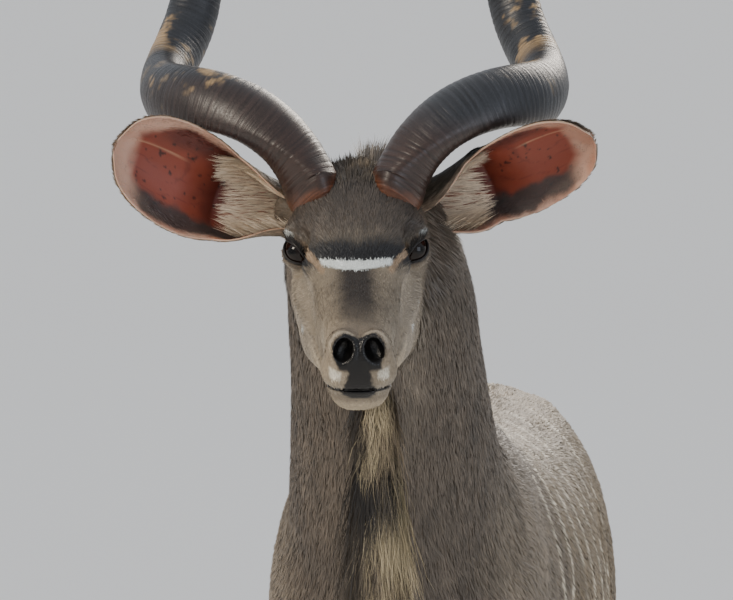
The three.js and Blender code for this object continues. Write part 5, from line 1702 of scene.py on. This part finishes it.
for place_name, leg in (("front", FRONT_LEG), ("hind", HIND_LEG)):
    for side_name, side in SIDES.items():
        foot = f"{place_name}_{side_name}"
        x, up = leg["rows"][0][1:3]
        for toe, which in (("inner", -side), ("outer", side)):
            own = {"origin": np.array([side * x + which * TOE_SPREAD, -up - TOE_FORWARD, 0.0]),
                   "axes": leg_frame(1)["axes"]}
            points = out_of(toe_points, own)
            mesh = closed_mesh(f"hoof_{foot}_{toe}", points, out_of(toe_ends, own))
            tone = 1 + 0.25 * grain(points.reshape(-1, 3) * (1, 1, 0.2), 5, 91)
            colours = layered(plain(HOOF_BLACK, len(tone)) * tone[:, None], [
                (HOOF_CROWN, 0.7 * ramp(heights.ravel(), 44, 49)),
                (HOOF_WORN, 0.5 * ramp(heights.ravel(), 5, 0)),
            ])
            keep_colour(mesh, "coat", with_ends(colours))
            finish_piece(mesh, f"toe_{foot}_{toe}", hoof_horn, replaced=[f"hoof_{foot}_{toe}"])
        row = blended(leg["rows"], DEWCLAW["height"])
        for which in (-1, 1):
            center = np.array([side * row[0] + which * DEWCLAW["aside"], -row[1] + DEWCLAW["back"],
                               DEWCLAW["height"]])
            mesh = closed_mesh(f"dewclaw_{foot}_{which}", center + claw, center + claw_ends)
            keep_colour(mesh, "coat", plain(DEWCLAW_BLACK, len(mesh.vertices)))
            label = "in" if which == -side else "out"
            finish_piece(mesh, f"dewclaw_{foot}_{label}", hoof_horn)
print("toes: 8, dewclaws: 8")

# %% [markdown]
# ## Long hair
# A bull has a stiff crest from the nape over the withers, a fringe under the throat that hangs in ragged
# locks, cream with a black patch, and a bushy black-tipped tail. Each lock is a bundle of long blades that
# share a heading.

# %% Locks as bundles of blades
CREST_BROWN, CREST_PALE, CREST_WITHERS = "#3d352d", "#7d6f5d", "#b0a28c"
CROWN_BROWN, FRINGE_TAN, FRINGE_BROWN, FRINGE_BLACK = "#3a342d", "#93876c", "#4d4237", "#14110f"
TAIL_BROWN = "#5b4f40"
CREST_LOCKS, CROWN_LOCKS, FRINGE_LOCKS, TAIL_LOCKS = 1250, 320, 760, 420
# The fringe's places along the neck, and the length over which its shape is told.
FRINGE_FROM, FRINGE_TO, FRINGE_SPAN = 70, 545, 340


def lock_hair(name, roots, normals, lies, lengths, colours, per_lock, spread, width, lift, steps=6, **shape):
    """Turns each lock into a bundle: the hairs start within the spread of its root and bend alike."""
    pick = np.repeat(np.arange(len(roots)), per_lock)
    count = len(pick)
    jitter = RANDOM.normal(0, 1, (count, 3)) * spread
    start = roots[pick] + jitter - normals[pick] * 3
    heading = unit(lies[pick] + RANDOM.normal(0, 0.09, (count, 3)))
    length = lengths[pick] * RANDOM.uniform(0.6, 1.05, count)
    tones = colours[pick] * np.exp(0.2 * RANDOM.normal(0, 1, (count, 1)))
    low_end, high_end = roots.min(0), roots.max(0)
    span = np.maximum(high_end - low_end, 1)
    places = 0.02 + 0.96 * np.clip((start - low_end) / span, 0, 1)[:, [1, 2]]
    coat_piece(name, start, unit(normals[pick]), heading, length, width, lift, tones, places, steps, **shape)


def top_of_body(x, y):
    """Points on the skin over places x, y: halving finds where the field is zero, straight above the middle
    of the neck or of the trunk."""
    neck_share = (y - NECK_FOOT[1]) / (NECK_HEAD[1] - NECK_FOOT[1])
    neck_middle = NECK_FOOT[2] + neck_share * (NECK_HEAD[2] - NECK_FOOT[2])
    z = halved(lambda at: body_field(stacked(x, y, at)) > 0, np.maximum(neck_middle, 1150.0),
               np.full(len(x), 1900.0), 16)
    return stacked(x, y, z)


# The crest runs from the nape over the withers to the middle of the back, and grows shorter behind.
count = CREST_LOCKS
up_neck = NECK_FRAME["axes"][2]
y = -455 + 895 * RANDOM.random(count) ** 1.15
aside = RANDOM.normal(0, 6, count)
roots = top_of_body(aside, y)
behind = ramp(y, -230, 60)
normals = unit(mixed(up_neck, Z, behind))
stand = normals + (0.45 + behind)[:, None] * mixed(unit((0, 0.75, -0.65)), Y, behind)
lies = unit(stand + 0.16 * np.outer(aside / 6, X) + RANDOM.normal(0, 0.09, (count, 3)))
streak = ramp(grain(roots, 7, 95), -0.4, 0.9)
colours = layered(plain(CREST_BROWN, count), [
    (CREST_PALE, 0.65 * streak),
    (CREST_WITHERS, 0.5 * ramp(y, 60, 200) * streak),
])
lengths = 46 + 18 * band(y, -300, 110, 120) - 20 * ramp(y, 20, 430) + RANDOM.normal(0, 4, count)
lock_hair("crest", roots, normals, lies, lengths, colours, 9, 2.6, 1.7, 0.8)

# The crown's tuft stands between the horns.
count = CROWN_LOCKS
x, along = RANDOM.normal(0, 15, count), RANDOM.uniform(-128, -52, count)
_, up, half, above, _ = blended(HEAD["rows"], along).T
top = up + above * np.sqrt(np.maximum(1 - (x / half) ** 2, 0.1)) - COAT_DEPTH
roots = out_of(stacked(x, along, top), HEAD_FRAME)
lies = unit((stacked(x * 0.012, -0.62, 0.8) + RANDOM.normal(0, 0.12, (count, 3))) @ HEAD_FRAME["axes"])
normals = np.tile(HEAD_FRAME["axes"][2], (count, 1))
colours = paint(plain(CROWN_BROWN, count), SHOULDER_GREY, 0.7 * ramp(grain(roots, 9, 97), 0, 0.6))
lengths = RANDOM.uniform(9, 17, count)
lock_hair("crown_tuft", roots, normals, lies, lengths, colours, 8, 2.0, 1.2, 0.7, steps=4)

# The throat's fringe leaves the skin forward and hangs straight down.
count = FRINGE_LOCKS
at = RANDOM.uniform(FRINGE_FROM, FRINGE_TO, count)
aside = RANDOM.normal(0, 10, count)
across, up, half, _, below = blended(NECK["rows"], at).T
under = up - below * np.sqrt(np.maximum(1 - (aside / half) ** 2, 0.05))
roots = out_of(stacked(across + aside, at, under), NECK_FRAME)
normals = np.tile(-up_neck, (count, 1))
lies = unit(stacked(0.006 * aside, -0.12, -1.0) + RANDOM.normal(0, 0.07, (count, 3)))
share = (FRINGE_TO - at) / FRINGE_SPAN
colours = layered(plain(FRINGE_TAN, count), [
    (FRINGE_BROWN, 0.8 * ramp(grain(roots, 14, 98), -0.1, 0.5)),
    (THROAT_DARK, 0.95 * ramp(aside + 4 * grain(roots, 20, 99), 0, -5)),
    (FRINGE_BLACK, band(share, 0.24, 0.05, 0.04) * ramp(np.abs(aside), 24, 12)),
])
lengths = (64 + 70 * ramp(share, 0, 0.45)) * (1 - 0.62 * ramp(share, 0.85, 1.4))
lengths = lengths + RANDOM.normal(0, 9, count)
lock_hair("throat_fringe", roots, normals, lies, lengths, colours, 16, 3.0, 1.1, 0.26, steps=5, wave=5.0)

# The tail is bushy, brown above and black at its end, with white along both sides.
count = TAIL_LOCKS
at = RANDOM.uniform(110, 400, count)
turn = RANDOM.uniform(0, 2 * np.pi, count)
x, up, half, above, below = blended(TAIL["rows"], at).T
half = stacked(half, np.where(np.sin(turn) > 0, above, below)) - COAT_DEPTH - 2
roots = out_of(stacked(x + half[:, 0] * np.cos(turn), at, up + half[:, 1] * np.sin(turn)), TAIL_FRAME)
out = stacked(np.cos(turn), 0, np.sin(turn)) @ TAIL_FRAME["axes"]
lies = unit(TAIL_FRAME["axes"][1] + (0, -0.2, 0) + 0.1 * out + RANDOM.normal(0, 0.05, (count, 3)))
colours = layered(plain(TAIL_BROWN, count), [
    (INNER_WHITE, 0.9 * ramp(np.abs(np.cos(turn)), 0.55, 0.85)),
    (TAIL_BLACK, ramp(at + 14 * grain(roots, 12, 94), 268, 310)),
])
lengths = 42 + 62 * ramp(at, 160, 330)
lock_hair("tail_tuft", roots, out, lies, lengths, colours, 11, 2.4, 1.6, 0.12)

# %% [markdown]
# ## Floor, light and camera
# A pale floor runs out for 52 metres and rises at its rim, so that no horizon shows. Three soft lamps and a
# pale sky light the animal from the front left, as in the photograph. The camera stands 11 metres away at
# the height that the photograph has, with a long lens.

# %% Floor
FLOOR_FLAT, FLOOR_RIM, RIM_HEIGHT, FLOOR_SIDES = 52.0, 78.0, 26.0, 96
radius = np.concatenate([np.linspace(0.0, FLOOR_FLAT, 6), np.linspace(FLOOR_FLAT, FLOOR_RIM, 14)[1:]])
radius = radius[:, None]
rise = RIM_HEIGHT * np.maximum(0, (radius - FLOOR_FLAT) / (FLOOR_RIM - FLOOR_FLAT)) ** 2
turn = full_turn(FLOOR_SIDES)
floor_points = stacked(radius * np.cos(turn), radius * np.sin(turn), rise).reshape(-1, 3)
floor_mesh = new_mesh("floor", floor_points, tube_faces(len(radius), FLOOR_SIDES)[:, ::-1])
plaster, tree, shader = start_material("matt_plaster", Roughness=0.95, Specular_IOR_Level=0.1)
shader.inputs["Base Color"].default_value = (*linear("#f1efeb"), 1)
floor_mesh.materials.append(plaster)
floor_mesh.polygons.foreach_set("use_smooth", np.full(len(floor_mesh.polygons), True))
floor = bpy.data.objects.new("floor", floor_mesh)
bpy.context.scene.collection.objects.link(floor)
print("floor:", len(floor_mesh.polygons), "squares")

# %% Light
EYES = (EYE_LINE + SHIFT) * MM
world = bpy.data.worlds.new("sky")
world.use_nodes = True
world.node_tree.nodes["Background"].inputs["Color"].default_value = (*linear("#dfe3ea"), 1)
world.node_tree.nodes["Background"].inputs["Strength"].default_value = 1.15
bpy.context.scene.world = world


def lamp(name, place, aim, size, power, colour):
    """A square lamp of that size in metres, turned to its aim."""
    light = bpy.data.lights.new(name, "AREA")
    light.size, light.energy, light.color = size, power, linear(colour)
    made = bpy.data.objects.new(name, light)
    made.location = place
    made.rotation_mode = "QUATERNION"
    made.rotation_quaternion = (Vector(aim) - Vector(place)).to_track_quat("-Z", "Y")
    bpy.context.scene.collection.objects.link(made)


lamp("key", (-3.6, -4.2, 4.6), (0, -0.5, 1.4), 1.8, 360, "#fff2df")
lamp("fill", (4.5, -4.0, 2.4), (0, 0, 1.2), 3.0, 120, "#e8f0ff")
lamp("rim", (1.5, 4.5, 4.5), (0, 0, 1.3), 2.5, 260, "#fff4e6")
print("lamps: key, fill and rim")

# %% Camera
CAMERA_TURN, CAMERA_RISE = np.radians([6.5, 1.5])
CAMERA_AWAY = 11.0
FRAME_WIDE_PX, FRAME_HIGH_PX = 733, 600
MM_PER_PX = 1.22
EYES_AT_PX = (356, 250)
back = np.array([np.sin(CAMERA_TURN) * np.cos(CAMERA_RISE), -np.cos(CAMERA_TURN) * np.cos(CAMERA_RISE),
                 np.sin(CAMERA_RISE)])
right = np.array([np.cos(CAMERA_TURN), np.sin(CAMERA_TURN), 0.0])
above = np.cross(back, right)
aside_px, below_px = FRAME_WIDE_PX / 2 - EYES_AT_PX[0], EYES_AT_PX[1] - FRAME_HIGH_PX / 2
target = EYES + (right * aside_px + above * below_px) * MM_PER_PX * MM
camera_data = bpy.data.cameras.new("camera")
camera_data.sensor_width = 36.0
camera_data.lens = 36.0 * CAMERA_AWAY / (FRAME_WIDE_PX * MM_PER_PX * MM)
camera_data.clip_start, camera_data.clip_end = 0.1, 300.0
camera = bpy.data.objects.new("camera", camera_data)
camera.location = target + back * CAMERA_AWAY
camera.rotation_mode = "QUATERNION"
camera.rotation_quaternion = Vector(-back).to_track_quat("-Z", "Y")
bpy.context.scene.collection.objects.link(camera)
bpy.context.scene.camera = camera
print("lens:", round(camera_data.lens, 1), "mm")
